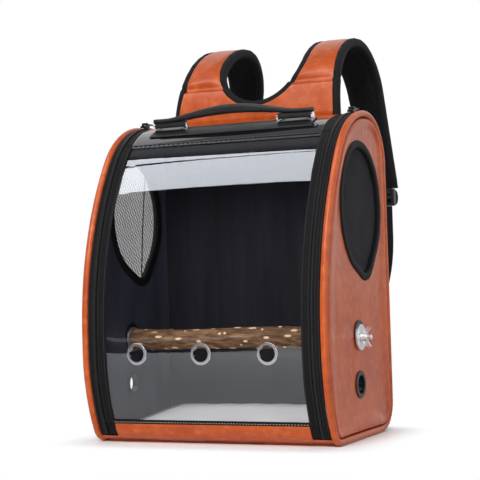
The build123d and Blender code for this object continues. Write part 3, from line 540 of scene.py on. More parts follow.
panel_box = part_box("side_panel_right")
panel_inner_x, welt_x = panel_box[0].x, panel_box[1].x
panel_inset = panel_box[0].y - front_y
grommet_flange = 0.0016
grommet_bore = 0.0137
face_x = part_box("vent_grommet_right")[1].x - grommet_flange - 0.0001
welt_width = 0.030
binding_width = 0.007
window_low, window_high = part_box("window_binding_right")
window_half_depth = (window_high.y - window_low.y) / 2 - binding_width
window_half_height = 0.075
window_centre = np.array(((window_low.y + window_high.y) / 2,
                          window_high.z - binding_width - window_half_height))
window_tip = np.array((0.030, window_low.z + binding_width))
window_tip_radius = 0.024


def window_outline(growth=0.0, count=1600):
    """The window's edge: the tight string round an ellipse and, below it, the circle of its soft tip.

    In each direction the string touches whichever of the two reaches further."""
    turn = full_turn(2400)
    reach = np.stack((np.cos(turn), np.sin(turn)), axis=1)
    halves = np.array((window_half_depth, window_half_height)) + growth
    touch = window_centre + halves**2 * reach / np.linalg.norm(halves * reach, axis=1)[:, None]
    tip_centre = window_tip + (0.0, window_tip_radius)
    tip_touch = tip_centre + (window_tip_radius + growth) * reach
    further = (tip_touch * reach).sum(axis=1) > (touch * reach).sum(axis=1)
    edge = np.where(further[:, None], tip_touch, touch)
    edge = np.concatenate((edge, edge[:1]))
    way = run_along(edge)
    return read_off(np.linspace(0.0, way[-1], count, endpoint=False), way, edge)


def direction_of(points):
    """The directions of points (y, z) from the window's middle, in radians from 0 to a full turn."""
    away = points - window_centre
    return np.mod(np.arctan2(away[..., 1], away[..., 0]), 2 * np.pi)


def edge_towards(direction, growth=0.0):
    """The points of the window's edge in the given directions from its middle."""
    edge = window_outline(growth)
    order = np.argsort(direction_of(edge))
    return read_off(direction, direction_of(edge)[order], edge[order], period=2 * np.pi)


panel_way = np.linspace(0.0, girth, 760, endpoint=False)
rim_point, rim_facing = outline(panel_way)


def panel_ring(inset):
    """Points (y, z) of a line round the panel, inset from the outline."""
    return rim_point - np.reshape(inset, (-1, 1)) * rim_facing


# The padded edge narrows in the tight bends and where the window comes near it.
welt_steps = np.linspace(0.003, welt_width, 240)
welt_tries = rim_point - (panel_inset + welt_steps[:, None, None]) * rim_facing
window_reach = np.linalg.norm(edge_towards(direction_of(welt_tries), 0.0025) - window_centre, axis=-1)
clear_of_window = np.linalg.norm(welt_tries - window_centre, axis=-1) > window_reach
welt_room = welt_steps[np.maximum(np.cumprod(clear_of_window, axis=0).sum(axis=0) - 1, 0)]
welt_room = np.minimum(welt_room, welt_width * (1 - 0.6 * np.minimum(bend_share(panel_way), 1.0)))
welt_room = np.min([np.roll(welt_room, k) for k in range(-16, 17)], axis=0)
welt_room = np.mean([np.roll(welt_room, k) for k in range(-16, 17)], axis=0)
inner_ring = panel_ring(panel_inset + welt_room)
window_edge = edge_towards(direction_of(inner_ring))


def middle_of(node):
    """The middle of a CAD node's box."""
    low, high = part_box(node)
    return (low + high) / 2


def punch_hole(piece, place, lying, radius):
    """Cuts a round hole through a piece, along an upright that is laid down by the turn lying."""
    bpy.ops.mesh.primitive_cylinder_add(vertices=64, radius=radius, depth=0.05, location=place,
                                        rotation=lying)
    punch = bpy.context.object
    hole = piece.modifiers.new("hole", "BOOLEAN")
    hole.operation, hole.object, hole.solver = "DIFFERENCE", punch, "EXACT"
    bpy.context.view_layer.update()
    cut = bpy.data.meshes.new_from_object(piece.evaluated_get(bpy.context.evaluated_depsgraph_get()))
    piece.modifiers.clear()
    piece.data = cut
    cut.name = piece.name
    bpy.data.objects.remove(punch)


for side, sign in sides:
    rows = []
    for share in np.linspace(0.0, 1.0, 22) ** 1.35:
        roll = np.sqrt(max(0.0, 1 - (1 - min(1.0, share / 0.20)) ** 2))
        fall = 0.5 + 0.5 * np.cos(np.pi * max(0.0, (share - 0.20) / 0.80))
        height = panel_inner_x + (face_x - panel_inner_x) * roll + (welt_x - face_x) * roll * fall
        pucker = 0.0002 * np.sin(panel_way / 0.0042 * np.pi) * np.exp(-((share / 0.30) ** 2)) * roll
        ring = panel_ring(panel_inset + share * welt_room)
        rows.append(in_space(height + pucker * (0.3 + bend_share(panel_way)), ring))
    for share in np.linspace(0.0, 1.0, 28)[1:]:
        place = inner_ring + (window_edge - inner_ring) * share
        slack = ripple(place[:, 0] / 0.016 + sign, place[:, 1] / 0.021, place.sum(axis=1) / 0.012)
        rows.append(in_space(face_x + 0.00025 * slack * np.sin(np.pi * share), place))
    for ring in (window_edge, inner_ring, panel_ring(panel_inset)):
        rows.append(in_space(panel_inner_x, ring))
    points = np.array(rows) * (sign, 1.0, 1.0)
    wall = add_piece(grid_mesh(f"side_wall_{side}", points, round_rows=True), tan_leather,
                     replaces=[f"side_panel_{side}"])
    for grommet in ("vent_grommet", "perch_grommet"):
        punch_hole(wall, middle_of(f"{grommet}_{side}"), (0.0, np.pi / 2, 0.0), grommet_bore)

# ---------------------------------------------------------------- window nets and bindings
# Knitted net is caught behind the cut-out: threads that zigzag up and down, each touching its
# two neighbours in turn. A folded tape of black nylon is sewn round the edge.


def ribbed_tape(name, colours, roughness, rib, depth, weave=0.003, sway=0.0, **constants):
    """Woven tape: level ribs, rib metres apart along it, which sway up and down across it, with shade
    painted into the furrows and light onto the ridges.
    """
    base, shaded_furrow, lit_ridge = colours
    finish = Finish(name, screen(*base), roughness, **constants)
    across, along = finish.cloth()
    phase = along * (2 * np.pi / rib)
    if sway:
        phase = phase + (across * (2 * np.pi / weave)).sine() * sway
    ribs = phase.sine()
    # Painted shade in the furrows between ribs and painted light on their ridges.
    finish.tint(0.5 + 0.5 * ribs, screen(*shaded_furrow), screen(*lit_ridge))
    finish.relief(ribs, depth)
    return finish, ribs


black_nylon, nylon_ribs = ribbed_tape("black nylon tape", ((22, 21, 23), (8, 8, 9), (20, 19, 21)), 0.62,
                                      0.0011, 0.00012, 0.0024, 1.6, Specular_IOR_Level=0.12)
black_nylon.put("Roughness", 0.55 + 0.12 * nylon_ribs)

net_thread = Finish("window net", screen(40, 40, 44), 0.6, Specular_IOR_Level=0.25)
net_shade = net_thread.noise(0.022, detail=2.0)
net_thread.tint(net_shade, screen(20, 20, 24), screen(46, 46, 52))

net_pitch, net_step = 0.0019, 0.0009
net_thread_radius = 0.00042
net_bulge = 0.0011
net_low, net_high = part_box("window_mesh_right")
net_x = middle_of("window_mesh_right").x


def net_mesh(name, sign):
    """Zigzag threads side by side: each is a four-sided cord that swings a quarter pitch to and fro.

    The net bows gently outwards, and only what lies inside the window's edge is kept."""
    count = int((net_high.y - net_low.y) / net_pitch)
    steps = int((net_high.z - net_low.z) / net_step)
    thread, step, corner = np.indices((count, steps, 4))
    swing = np.where((step // 2 + thread) % 2 == 0, 0.26, -0.26) * net_pitch * np.where(step % 2, 0.7, 1.0)
    turn = corner * np.pi / 2 + np.pi / 4
    z = net_low.z + step * net_step
    y = net_low.y + (thread + 0.5) * net_pitch
    y = y + swing + 0.00055 * np.sin((z + 0.55 * y) / 0.00085) + net_thread_radius * np.cos(turn)
    middle = np.stack((y, z), axis=-1)
    reach = np.linalg.norm(edge_towards(direction_of(middle), 0.0055) - window_centre, axis=-1)
    share = np.linalg.norm(middle - window_centre, axis=-1) / reach
    bow = net_bulge * (1 - np.clip(share, 0, 1) ** 2) + 0.0004 * ripple(z / 0.006, y / 0.011)
    x = net_x - 0.0004 + bow + net_thread_radius * np.sin(turn)
    points = np.stack((sign * x, y, z), axis=-1).reshape(-1, 3)
    thread, step, corner = every(count, steps - 1, 4)
    base = (thread * steps + step) * 4
    beside = (corner + 1) % 4
    faces = np.stack((base + corner, base + beside, base + 4 + beside, base + 4 + corner), axis=1)
    kept = (share.reshape(-1)[faces] < 1.0).all(axis=1)
    faces = faces[kept] if sign > 0 else faces[kept][:, ::-1]
    used, faces = np.unique(faces, return_inverse=True)
    mesh = bpy.data.meshes.new(name)
    mesh.from_pydata(points[used], [], faces.reshape(-1, 4))
    mesh.shade_smooth()
    return mesh


def blunt_round(count, across_power, up_power):
    """Once round a section, across it and up it, from -1 to 1: the smaller a power, the squarer."""
    across, up = np.cos(full_turn(count)), np.sin(full_turn(count))
    return np.sign(across) * np.abs(across) ** across_power, np.sign(up) * np.abs(up) ** up_power


def ring_tube(name, line, x_middle, half_thick, half_wide, sign, wobble=0.0):
    """A tube round a closed line (y, z): its section is a rounded bar, half_thick in x by half_wide."""
    ahead_way = np.roll(line, -1, axis=0) - np.roll(line, 1, axis=0)
    outward = np.stack((ahead_way[:, 1], -ahead_way[:, 0]), axis=1)
    outward /= np.linalg.norm(outward, axis=1)[:, None]
    wide, thick = blunt_round(20, 0.6, 0.6)
    way = np.arange(len(line))[:, None]
    slack = wobble * np.sin(way / 2.3) * np.cos(full_turn(20) / 2) ** 2
    yz = line[:, None, :] + half_wide * wide[:, None] * outward[:, None, :]
    return grid_mesh(name, in_space(sign * (x_middle + half_thick * thick + slack), yz), round_rows=True)


# A narrow dart takes up the net's fullness, from the top of the window to its low tip.
dart_top = {"left": 64.0, "right": 87.0}
for side, sign in sides:
    add_piece(net_mesh(f"window_net_{side}", sign), net_thread,
              replaces=[f"window_mesh_{side}"])
    for name, growth, x_middle, half_thick, half_wide, wobble, replaced in (
        ("edge", binding_width / 2, 0.1603, 0.0038, 0.0050, 0.00012, [f"window_binding_{side}"]),
        ("wall", -0.0004, 0.1599, 0.0034, 0.0012, 0.0, ()),
        ("inner", 0.0022, 0.1552, 0.0008, 0.0058, 0.0, ()),
    ):
        tape = ring_tube(f"window_{name}_tape_{side}", window_outline(growth, 300), x_middle, half_thick,
                         half_wide, sign, wobble)
        add_piece(tape, black_nylon, replaces=replaced)
    top_point = edge_towards(np.radians(dart_top[side]), 0.003)
    low_point = edge_towards(np.radians(278.0), 0.003)
    along = np.linspace(0.0, 1.0, 90)[:, None]
    across, up = 0.0011 * np.cos(full_turn(10)), 0.0006 * np.sin(full_turn(10))
    yz = (top_point + (low_point - top_point) * along)[:, None, :] + across[:, None] * (1.0, 0.0)
    x = sign * (net_x + net_bulge * np.sin(np.pi * along) - 0.0010 + up)
    add_piece(grid_mesh(f"window_net_dart_{side}", in_space(x, yz)), black_nylon)

# ---------------------------------------------------------------- lining and boards
# Smooth black nylon over the inside of the side walls and back, the walls' copy painted lighter as light
# falling on them, and a black board underneath.


def lining_finish(name, roughness, specular, fold_length, colour, shaded_valley, crest, fold_depth):
    """Smooth cloth with soft upright folds, each about fold_length high, with shade painted into their
    valleys and light painted onto their crests.
    """
    finish = Finish(name, colour, roughness, Specular_IOR_Level=specular)
    folds = finish.noise(1.0, detail=2.0, vector=finish.stretched((0.030, 0.030, fold_length)))
    # Painted shade in the fold valleys and painted light on the fold crests.
    finish.tint(folds.above(0.5, 0.3), shaded_valley, crest)
    finish.relief(folds, fold_depth)
    return finish


lining_cloth = lining_finish("black lining", 0.55, 0.15, 0.30, screen(26, 26, 32), screen(20, 20, 25),
                             screen(32, 32, 39), 0.0030)
lining_cloth.relief(lining_cloth.cells(0.0007), 0.00004, fine=True)
# The side walls get a lighter copy of the same black lining: painted light on the walls.
wall_lining_painted_lighter = lining_finish("black wall lining, painted lighter", 0.5, 0.2, 0.22, screen(52, 53, 64), screen(44, 45, 55),
                           screen(62, 64, 76), 0.0020)
dress(lining_cloth, "back_lining")
dress(wall_lining_painted_lighter, "side_lining_left", "side_lining_right")


def crown_distance(angle):
    """How far round the outline a point on the crown lies, angle degrees forward of upright."""
    lean = np.radians(angle)
    y = crown_centre[0] - crown_radius * np.sin(lean)
    return distance_to(y, crown_centre[1] + crown_radius * np.cos(lean))


def sheet_mesh(name, outer, inner):
    """A closed sheet between its outer and its inner face, which meet along its four edges."""
    return grid_mesh(name, np.concatenate((outer, inner[:, ::-1]), axis=1), two_faced=True)


heel_way, floor_way = distance_to(back_y, heel_radius), distance_to(back_y - heel_radius, 0.0)
shoulder_way = distance_to(back_y, crest_z - shoulder_radius)
lining_columns = np.linspace(-0.1560, 0.1560, 90)
lining_inset = 0.0073
for name, first, last in (("ceiling_lining", shoulder_way, crown_distance(40.0)),
                          ("heel_lining", floor_way + 0.004, heel_way + 0.004)):
    ways, x = np.meshgrid(np.linspace(first, last, 70), lining_columns, indexing="ij")
    sag = 0.0006 * (1 + ripple(x / 0.040 + ways / 0.030, x / 0.023 - ways / 0.050))
    lining = sheet_mesh(name, skin(ways, x, lining_inset), skin(ways, x, lining_inset + 0.0005 + sag))
    add_piece(lining, lining_cloth)

black_board = Finish("black board", screen(24, 24, 26), 0.7)
board_fleck = black_board.noise(0.004, detail=4.0)
black_board.tint(board_fleck, screen(18, 18, 20), screen(38, 38, 41))
black_board.relief(board_fleck, 0.0001)
dress(black_board, "floor_board")

# ---------------------------------------------------------------- metal and moulded trim
# Dark nickel eyelets and rivets, and brackets of black plate with bright ears; bright zinc on the
# perch's washers, bolts and wing nuts; enamelled black grommets and zip sliders, and moulded
# black ladder locks and strap anchors.


def metal_finish(name, colour, roughness, smear, **constants):
    """Bare or coated metal with faint smears in its polish and tiny scratches."""
    finish = Finish(name, colour, roughness, **constants)
    smears = finish.noise(0.006, detail=4.0, distortion=0.5)
    finish.put("Roughness", roughness - smear / 2 + smear * smears)
    finish.relief(finish.noise(0.0009, detail=3.0), 0.00001)
    return finish


zinc = metal_finish("bright zinc", (0.70, 0.71, 0.73), 0.29, 0.12, Metallic=0.86)
nickel = metal_finish("dark nickel", (0.50, 0.50, 0.52), 0.12, 0.06, Metallic=1.0)
black_metal = metal_finish("black enamel", screen(14, 14, 16), 0.30, 0.12, Specular_IOR_Level=0.3)
moulded_black = metal_finish("moulded black", screen(28, 28, 30), 0.46, 0.14)
dress(nickel, "vent_eyelets", "handle_rivets")
bracket_metal = metal_finish("bracket, black plate and bright ears", screen(24, 24, 26), 0.20, 0.10)
bracket_across = bracket_metal.apart(bracket_metal.place())[0].size()
bracket_plate = (0.1095 - bracket_across).above(0.0, 0.0004) * (bracket_across - 0.0655).above(0.0, 0.0004)
bracket_bright = 1.0 - bracket_plate
bracket_metal.put("Metallic", bracket_bright)
bracket_metal.tint(bracket_bright, screen(24, 24, 26), (0.80, 0.81, 0.83))
dress(bracket_metal, "handle_pins")
dress(zinc, "perch_washers")
for side, _ in sides:
    dress(bracket_metal, f"handle_bracket_{side}")
    dress(zinc, f"perch_bolt_{side}", f"wing_nut_{side}")
    dress(black_metal, f"zip_slider_{side}", f"zip_pull_{side}")
    dress(black_metal, f"vent_grommet_{side}", f"perch_grommet_{side}")
    dress(moulded_black, f"ladder_lock_{side}", f"strap_anchor_{side}")

# ---------------------------------------------------------------- zip tapes and coils
# Woven black tapes, with the coil of the zip between them: one long row of nylon turns,
# hooked into each other over the whole front and crown.


def front_distance(z):
    """How far round the outline the front reaches height z."""
    front = travel > distance_to(front_y, 0.20)
    return travel[front][np.argmin(np.abs(stations[front, 1] - z))]


tape_foot = front_distance(0.0240)
tape_toe = front_distance(0.0090)
cover_top_way = crown_distance(41.0)
seam_way = crown_distance(40.5)
tape_top = crown_distance(40.9)
tape_back_way = distance_to(back_y, crest_z - shoulder_radius)
tape_inset, tape_thick = 0.0030, 0.0019
cover_edge_x, coil_inner_x, coil_outer_x, rim_x = 0.1320, 0.1438, 0.1440, 0.1557


def band_mesh(name, first, last, x_near, x_far, inset, thickness, puff, drift):
    """A strip of cloth that follows the outline: a rounded bar from x_near to x_far, thickness deep.

    puff lifts its middle, and drift moves its outer face a little up and down along the way."""
    way = np.linspace(first, last, max(8, int(abs(last - first) / 0.0016)))[:, None]
    wide, deep = blunt_round(28, 0.35, 0.45)
    across = (x_near + x_far) / 2 + (x_far - x_near) / 2 * wide
    lift = puff * (1 - wide**2) + drift * ripple(way / 0.021 + wide, way / 0.0083 - 2 * wide)
    outer = np.clip(deep, 0, 1) * lift
    return grid_mesh(name, skin(way, across, inset + thickness / 2 - thickness / 2 * deep - outer))


def copies(name, unit, faces, origins, axes):
    """One mesh of many small copies: each point of the unit is carried along an origin's three axes."""
    points = origins[:, None, :] + np.einsum("up,npk->nuk", unit, axes)
    shifts = (np.arange(len(origins)) * len(unit))[:, None, None]
    return closed_mesh(name, points.reshape(-1, 3), (faces[None] + shifts).reshape(-1, 4))


def bead(length, width, height, rings=5, spokes=6):
    """A rounded grain, length by width by height: rings of an ellipsoid, blunter towards its ends."""
    along = np.linspace(-1.0, 1.0, rings + 2)[:, None]
    girth_share = np.sqrt(np.clip(1 - np.abs(along) ** 3, 0, 1))
    turn = full_turn(spokes)
    grid = np.stack(np.broadcast_arrays(length / 2 * along, width / 2 * girth_share * np.cos(turn),
                                        height / 2 * girth_share * np.sin(turn)), axis=-1)
    ring, spoke = every(rings + 1, spokes)
    here, beside = ring * spokes + spoke, ring * spokes + (spoke + 1) % spokes
    faces = np.stack((here, beside, beside + spokes, here + spokes), axis=1)
    return grid.reshape(-1, 3), faces


thread_size = (0.0027, 0.0007, 0.0006)


def stitches(name, line, outward, finish, slot, body, pitch):
    """A row of stitches along a line of points: a grain of thread every pitch, lying on the cloth."""
    way = run_along(line)
    at = np.arange(pitch / 2, way[-1], pitch)
    origin, nearby = (read_off(at + shift, way, line) for shift in (-0.0004, 0.0004))
    up = read_off(at, way, outward)
    along = nearby - origin
    along /= np.linalg.norm(along, axis=1)[:, None]
    aside = np.cross(up, along)
    aside /= np.linalg.norm(aside, axis=1)[:, None]
    axes = np.stack((along, aside, np.cross(along, aside)), axis=1)
    unit, faces = bead(*thread_size, rings=3)
    add_piece(copies(name, unit, faces, (origin + nearby) / 2, axes), finish, body)


def skin_stitches(name, way, x, inset, *details):
    """Stitches over the skin: round the outline at one x, or at one distance round it from x to x."""
    way, x = np.broadcast_arrays(way, x)
    outward = in_space(0.0, outline(way)[1])
    stitches(name, skin(way, x, inset), outward, *details)


def thread_finish(name, colour, roughness, smoothest):
    """Waxed sewing thread, unevenly polished."""
    finish = Finish(name, colour, roughness)
    finish.put("Roughness", smoothest + 0.2 * finish.noise(0.002))
    return finish


black_thread = thread_finish("black thread", screen(44, 44, 47), 0.5, 0.45)
nylon_turns = Finish("zip coil", screen(24, 24, 26), 0.36, Specular_IOR_Level=0.4)
nylon_turns.put("Roughness", 0.24 + 0.16 * nylon_turns.noise(0.004))
coil_pitch = 0.0017
coil_middle_x = middle_of("zip_coil_right").x

for side, sign in sides:
    for name, first, last, near, far, puff, drift, body, replaced in (
        ("outer", tape_back_way, tape_toe, coil_outer_x, rim_x, 0.0002, 0.00012, "root",
         [f"zip_tape_{side}"]),
        ("rear", tape_back_way, seam_way, cover_edge_x, coil_inner_x, 0.0002, 0.00012, "root", ()),
        ("foot", front_distance(0.0237), tape_toe, cover_edge_x, coil_inner_x, 0.0002, 0.0, "root", ()),
        ("inner", tape_top, tape_foot, cover_edge_x, coil_inner_x - 0.0001, 0.0003, 0.00014, "cover",
         [f"cover_tape_{side}"]),
    ):
        tape = band_mesh(f"{name}_zip_tape_{side}", first, last, sign * near, sign * far, tape_inset,
                         tape_thick, puff, drift)
        add_piece(tape, black_nylon, body, replaced)
    way = np.arange(tape_back_way + 0.002, tape_toe - 0.001, coil_pitch)
    origins = skin(way, sign * coil_middle_x, 0.0021)
    outward = in_space(0.0, outline(way)[1])
    origins[:, 0] += np.where(np.arange(len(way)) % 2 == 0, 0.00045, -0.00045)
    aside = np.broadcast_to((1.0, 0.0, 0.0), outward.shape)
    axes = np.stack((aside, np.cross(aside, outward), outward), axis=1)
    unit, faces = bead(0.0037, 0.0014, 0.0019)
    coil = copies(f"coil_turns_{side}", unit, faces, origins, axes)
    add_piece(coil, nylon_turns, replaces=[f"zip_coil_{side}"])
    for name, x, first, last, inset, body in (
        ("outer", 0.1500, tape_back_way, tape_toe, tape_inset - 0.0002, "root"),
        ("rim_edge", 0.1545, tape_back_way, tape_toe, tape_inset - 0.0001, "root"),
        ("inner", 0.1420, tape_top, tape_foot, tape_inset - 0.0002, "cover"),
        ("cover_edge", 0.1338, tape_top, tape_foot, tape_inset - 0.0002, "cover"),
    ):
        skin_stitches(f"{name}_tape_stitches_{side}", np.linspace(first, last, 500), sign * x, inset,
                      black_thread, "black_nylon", body, 0.0034)

# ---------------------------------------------------------------- clear cover
# A sheet of clear soft plastic, bent round the front and sewn to the tapes. It is a little
# wavy, with three holes for the eyelets.

clear_sheet = Finish("clear plastic", (0.92, 0.94, 0.97), 0.045, Metallic=1.0, IOR=1.5)
sheet_gloss = clear_sheet.node("ShaderNodeFresnel", {}, {"IOR": 1.53})
sheet_haze = clear_sheet.noise(0.10, detail=2.0)
from_outside = 1.0 - clear_sheet.node("ShaderNodeNewGeometry", output="Backfacing")
clear_sheet.put("Alpha", (sheet_gloss * 2.1 + 0.010 * sheet_haze) * from_outside)
clear_sheet.put("Roughness", 0.012 + 0.025 * sheet_haze)
cover_low, cover_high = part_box("clear_cover")
cover_inset, cover_thickness = 0.0050, 0.0012
cover_ways = np.linspace(front_distance(cover_low.z), cover_top_way, 220)
cover_across = np.linspace(cover_low.x, cover_high.x, 126)
cover_way, cover_x = np.meshgrid(cover_ways, cover_across, indexing="ij")
cover_edge = np.minimum(1.0, (cover_high.x - np.abs(cover_x)) / 0.020)
cover_waves = ripple(cover_way / 0.050 + cover_x / 0.090, cover_x / 0.035 - cover_way / 0.11)
cover_inside = cover_inset + 0.00035 * cover_waves * cover_edge
cover_mesh = sheet_mesh("clear_front", skin(cover_way, cover_x, cover_inside),
                        skin(cover_way, cover_x, cover_inside + cover_thickness))
cover_piece = add_piece(cover_mesh, clear_sheet, "cover", replaces=["clear_cover"])
eyelet_z = middle_of("vent_eyelets").z
eyelet_pitch = 0.088
eyelet_bore = 0.0112
for column in (-1, 0, 1):
    place = (column * eyelet_pitch, front_y + cover_inset, eyelet_z)
    punch_hole(cover_piece, place, (np.pi / 2, 0.0, 0.0), eyelet_bore)

# ---------------------------------------------------------------- cover trims and front sill
# Narrow tape along the sheet's lower and upper edge, sewn with pale thread, and below it a
# strip of leather that runs down and under the toe, creased along its length.

pale_thread = thread_finish("pale thread", screen(196, 188, 178), 0.6, 0.5)
trim_half_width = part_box("cover_bottom_trim")[1].x


def wide_strip(name, ways, across, inset, thickness, lift):
    """A broad strip that follows the outline: an outer face raised by lift, and a flat inner one.

    lift is worked out for every way along the outline and every x across it."""
    way, x = np.meshgrid(ways, across, indexing="ij")
    return sheet_mesh(name, skin(way, x, inset - lift(way, x)), skin(way, x, inset + thickness))


def soft_edges(position, low, high, width):
    """0 at both ends of a strip, rising as a quarter round within width of them to 1."""
    near = np.clip(np.minimum(position - low, high - position) / width, 0, 1)
    return np.sqrt(1 - (1 - near) ** 2)


# The sheet's own upper margin is glossy over black cloth.
margin_sheet = Finish("plastic over black cloth", screen(16, 16, 19), 0.03, Coat_Weight=1.0,
                      Coat_Roughness=0.02)
margin_sheet.put("Roughness", 0.02 + 0.05 * margin_sheet.noise(0.10))
trim_columns = np.linspace(-trim_half_width, trim_half_width, 240)
for name, node, first, last, trim_finish in (
    ("bottom_edge_tape", "cover_bottom_trim", front_distance(0.0285), tape_foot, black_nylon),
    ("top_edge_tape", "cover_top_trim", cover_top_way, crown_distance(43.2), margin_sheet),
):

    def trim_lift(way, x):
        """Rounded edges, and the slight pull of each stitch."""
        pull = 0.00016 * np.sin(x * (2 * np.pi / 0.0068))
        return (0.0004 + pull) * soft_edges(way, first, last, 0.0012) - 0.0004

    mesh = wide_strip(name, np.linspace(first, last, 12), trim_columns, tape_inset, tape_thick, trim_lift)
    add_piece(mesh, trim_finish, "cover", replaces=[node])
    if name == "bottom_edge_tape":
        row_x = np.linspace(-trim_half_width, trim_half_width, 400)
        skin_stitches(f"{name}_stitches", (first + last) / 2, row_x, tape_inset - 0.0003, pale_thread,
                      "black_nylon", "cover", 0.0040)

sill_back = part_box("front_sill")[1]
sill_half_width = sill_back.x
sill_first, sill_last = front_distance(sill_back.z), distance_to(sill_back.y, 0.0)


def sill_lift(way, x):
    """Long creases where the leather turns the toe, short puckers under the seam, rounded edges."""
    share = (way - sill_first) / (sill_last - sill_first)
    creases = ripple(way / 0.0022 + 2.5 * np.sin(x / 0.031), way / 0.0041 - x / 0.045,
                     x / 0.013 + way / 0.007)
    puckers = np.sin(x * (2 * np.pi / 0.011) + 2 * np.sin(x / 0.017)) * np.exp(-((share / 0.30) ** 2))
    shape = 0.0009 + 0.00055 * creases + 0.00035 * puckers
    return shape * soft_edges(way, sill_first, sill_last, 0.004) - 0.0006


sill_mesh = wide_strip("front_sill_leather", np.linspace(sill_first, sill_last, 48),
                       np.linspace(-sill_half_width, sill_half_width, 340), tape_inset, 0.0040, sill_lift)
add_piece(sill_mesh, tan_leather, replaces=["front_sill"])

# ---------------------------------------------------------------- perch
# A natural branch with its bark on, cut to length, with pale knots where twigs were trimmed.
# A bolt through each side wall holds it by its ends.

perch_low, perch_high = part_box("perch_branch")
perch_radius = (perch_high.z - perch_low.z) / 2
perch_z = middle_of("perch_branch").z
# Each knot: how far along the branch it sits, its direction round it, and its length.
knots = [(-0.146 + 0.0073 * k, 3.1 + 1.35 * np.sin(2.4 * k + 0.4), 0.0042 + 0.0024 * np.sin(1.7 * k))
         for k in range(41)]
perch_along, perch_turn = np.meshgrid(np.linspace(perch_low.x, perch_high.x, 450),
                                      full_turn(120), indexing="ij")


def knot_share(along, turn, knot_width):
    """Near 1 on a knot and 0 away from all of them: a soft oval bump for each, added up."""
    share = np.zeros_like(along)
    for knot_x, knot_turn, knot_length in knots:
        apart = np.angle(np.exp(1j * (turn - knot_turn))) * perch_radius
        share += np.exp(-(((along - knot_x) / knot_length) ** 2) - (apart / knot_width) ** 2)
    return share


ridges = ripple(9 * perch_turn + 5 * np.sin(perch_along / 0.021), 17 * perch_turn - perch_along / 0.0065,
                5 * perch_turn + perch_along / 0.011)
bark_grain = ripple(31 * perch_turn + 8 * np.sin(perch_along / 0.009),
                    perch_along / 0.0016 + 3 * perch_turn)
end_round = soft_edges(perch_along, perch_low.x, perch_high.x, 0.0030)
bark_radius = 0.0131 + 0.0006 * np.sin(perch_along / 0.037) + 0.0005 * ridges + 0.00022 * bark_grain
bark_radius = bark_radius + 0.0011 * knot_share(perch_along, perch_turn, 0.0022)
bark_radius = bark_radius * (0.72 + 0.28 * end_round)
perch_y = 0.0010 * np.sin(perch_along / 0.05) + bark_radius * np.cos(perch_turn)
perch_rise = 0.0008 * np.sin(perch_along / 0.04 + 1) + bark_radius * np.sin(perch_turn)
perch_points = np.stack((perch_along, perch_y, perch_z + perch_rise), axis=-1)
perch_mesh = grid_mesh("perch_bark", perch_points)
knot_shade = perch_mesh.attributes.new("knot", "FLOAT", "POINT")
places = np.zeros(len(perch_mesh.vertices) * 3, dtype=np.float32)
perch_mesh.vertices.foreach_get("co", places)
places = places.reshape(-1, 3).astype(float)
place_turn = np.arctan2(places[:, 2] - perch_z, places[:, 1])
shades = np.clip(knot_share(places[:, 0], place_turn, 0.0021), 0, 1)
knot_shade.data.foreach_set("value", shades.astype(np.float32))

bark = Finish("bark", screen(126, 92, 66), 0.85, Specular_IOR_Level=0.2)
long_grain = bark.noise(1.0, detail=6.0, roughness=0.65, vector=bark.stretched((0.018, 0.0032, 0.0032)))
flakes = bark.noise(1.0, detail=4.0, vector=bark.stretched((0.030, 0.010, 0.010)), distortion=0.6)
bark_colour = bark.mix(long_grain.above(0.50, 0.16), screen(78, 54, 38), screen(138, 103, 75))
bark_colour = bark.mix(flakes.above(0.60, 0.08) * 0.55, bark_colour, screen(170, 134, 102))
knot_mask = bark.node("ShaderNodeAttribute", {"attribute_name": "knot"}, output="Fac")
bark_colour = bark.mix(knot_mask.above(0.52, 0.16), bark_colour, screen(246, 208, 170))
bark.put("Base Color", bark_colour)
bark.relief(long_grain + 0.5 * flakes, 0.0012)
add_piece(perch_mesh, bark, replaces=["perch_branch"])

# ---------------------------------------------------------------- floor mat
# A thin pad of white fleece in a smooth grey-edged case, lying loose on the floor board.

mat_low, mat_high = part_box("floor_mat")
mat_lean = np.arcsin((mat_high.z - mat_low.z - 0.0090) / (mat_high.y - mat_low.y))
mat_run = (mat_high.y - mat_low.y) / np.cos(mat_lean) - 0.0008
mat_half = np.array((mat_high.x - mat_low.x, mat_run)) / 2
mat_corner = 0.012


def rounded_square(turn, half, corner):
    """Points of a rectangle with round corners, by direction from its middle."""
    reach = np.stack((np.cos(turn), np.sin(turn)), axis=-1)
    straight = 1 / np.maximum(np.abs(reach[..., 0]) / half[0], np.abs(reach[..., 1]) / half[1])
    flat = reach * straight[..., None]
    inner = np.clip(flat, -(half - corner), half - corner)
    away = flat - inner
    length = np.linalg.norm(away, axis=-1, keepdims=True)
    return inner + away / np.maximum(length, 1e-9) * np.minimum(corner, length)


def pad_rows(half, corner, thickness, crown, relief, rings=70, spokes=360):
    """A padded sheet, flat below: rings grow from the middle to the seam below, and shrink back above.

    Above, height rises as a quarter round near the seam and goes on to crown in the middle;
    relief adds creases or channels."""
    edge = rounded_square(full_turn(spokes), half, corner)
    shares = np.linspace(0.0, 1.0, rings)
    rows = [np.column_stack((edge * share, np.zeros(spokes))) for share in shares]
    for share in shares[::-1]:
        place = edge * share
        inside = (1 - share) * half.min()
        rise = np.sqrt(1 - (1 - min(1.0, inside / (thickness * 1.2))) ** 2)
        height = rise * (thickness + crown * (1 - share**2) + relief(place[:, 0], place[:, 1], inside))
        rows.append(np.column_stack((place, height)))
    return np.array(rows)


def mat_relief(x, y, inside):
    """Slow swells, and short folds that run in from the seam."""
    folds = np.sin(x / 0.0065 + np.sin(y / 0.02)) * np.exp(-inside / 0.016)
    return 0.0009 * ripple(x / 0.047 + 1.0, y / 0.036, (x + y) / 0.028) + 0.0005 * folds


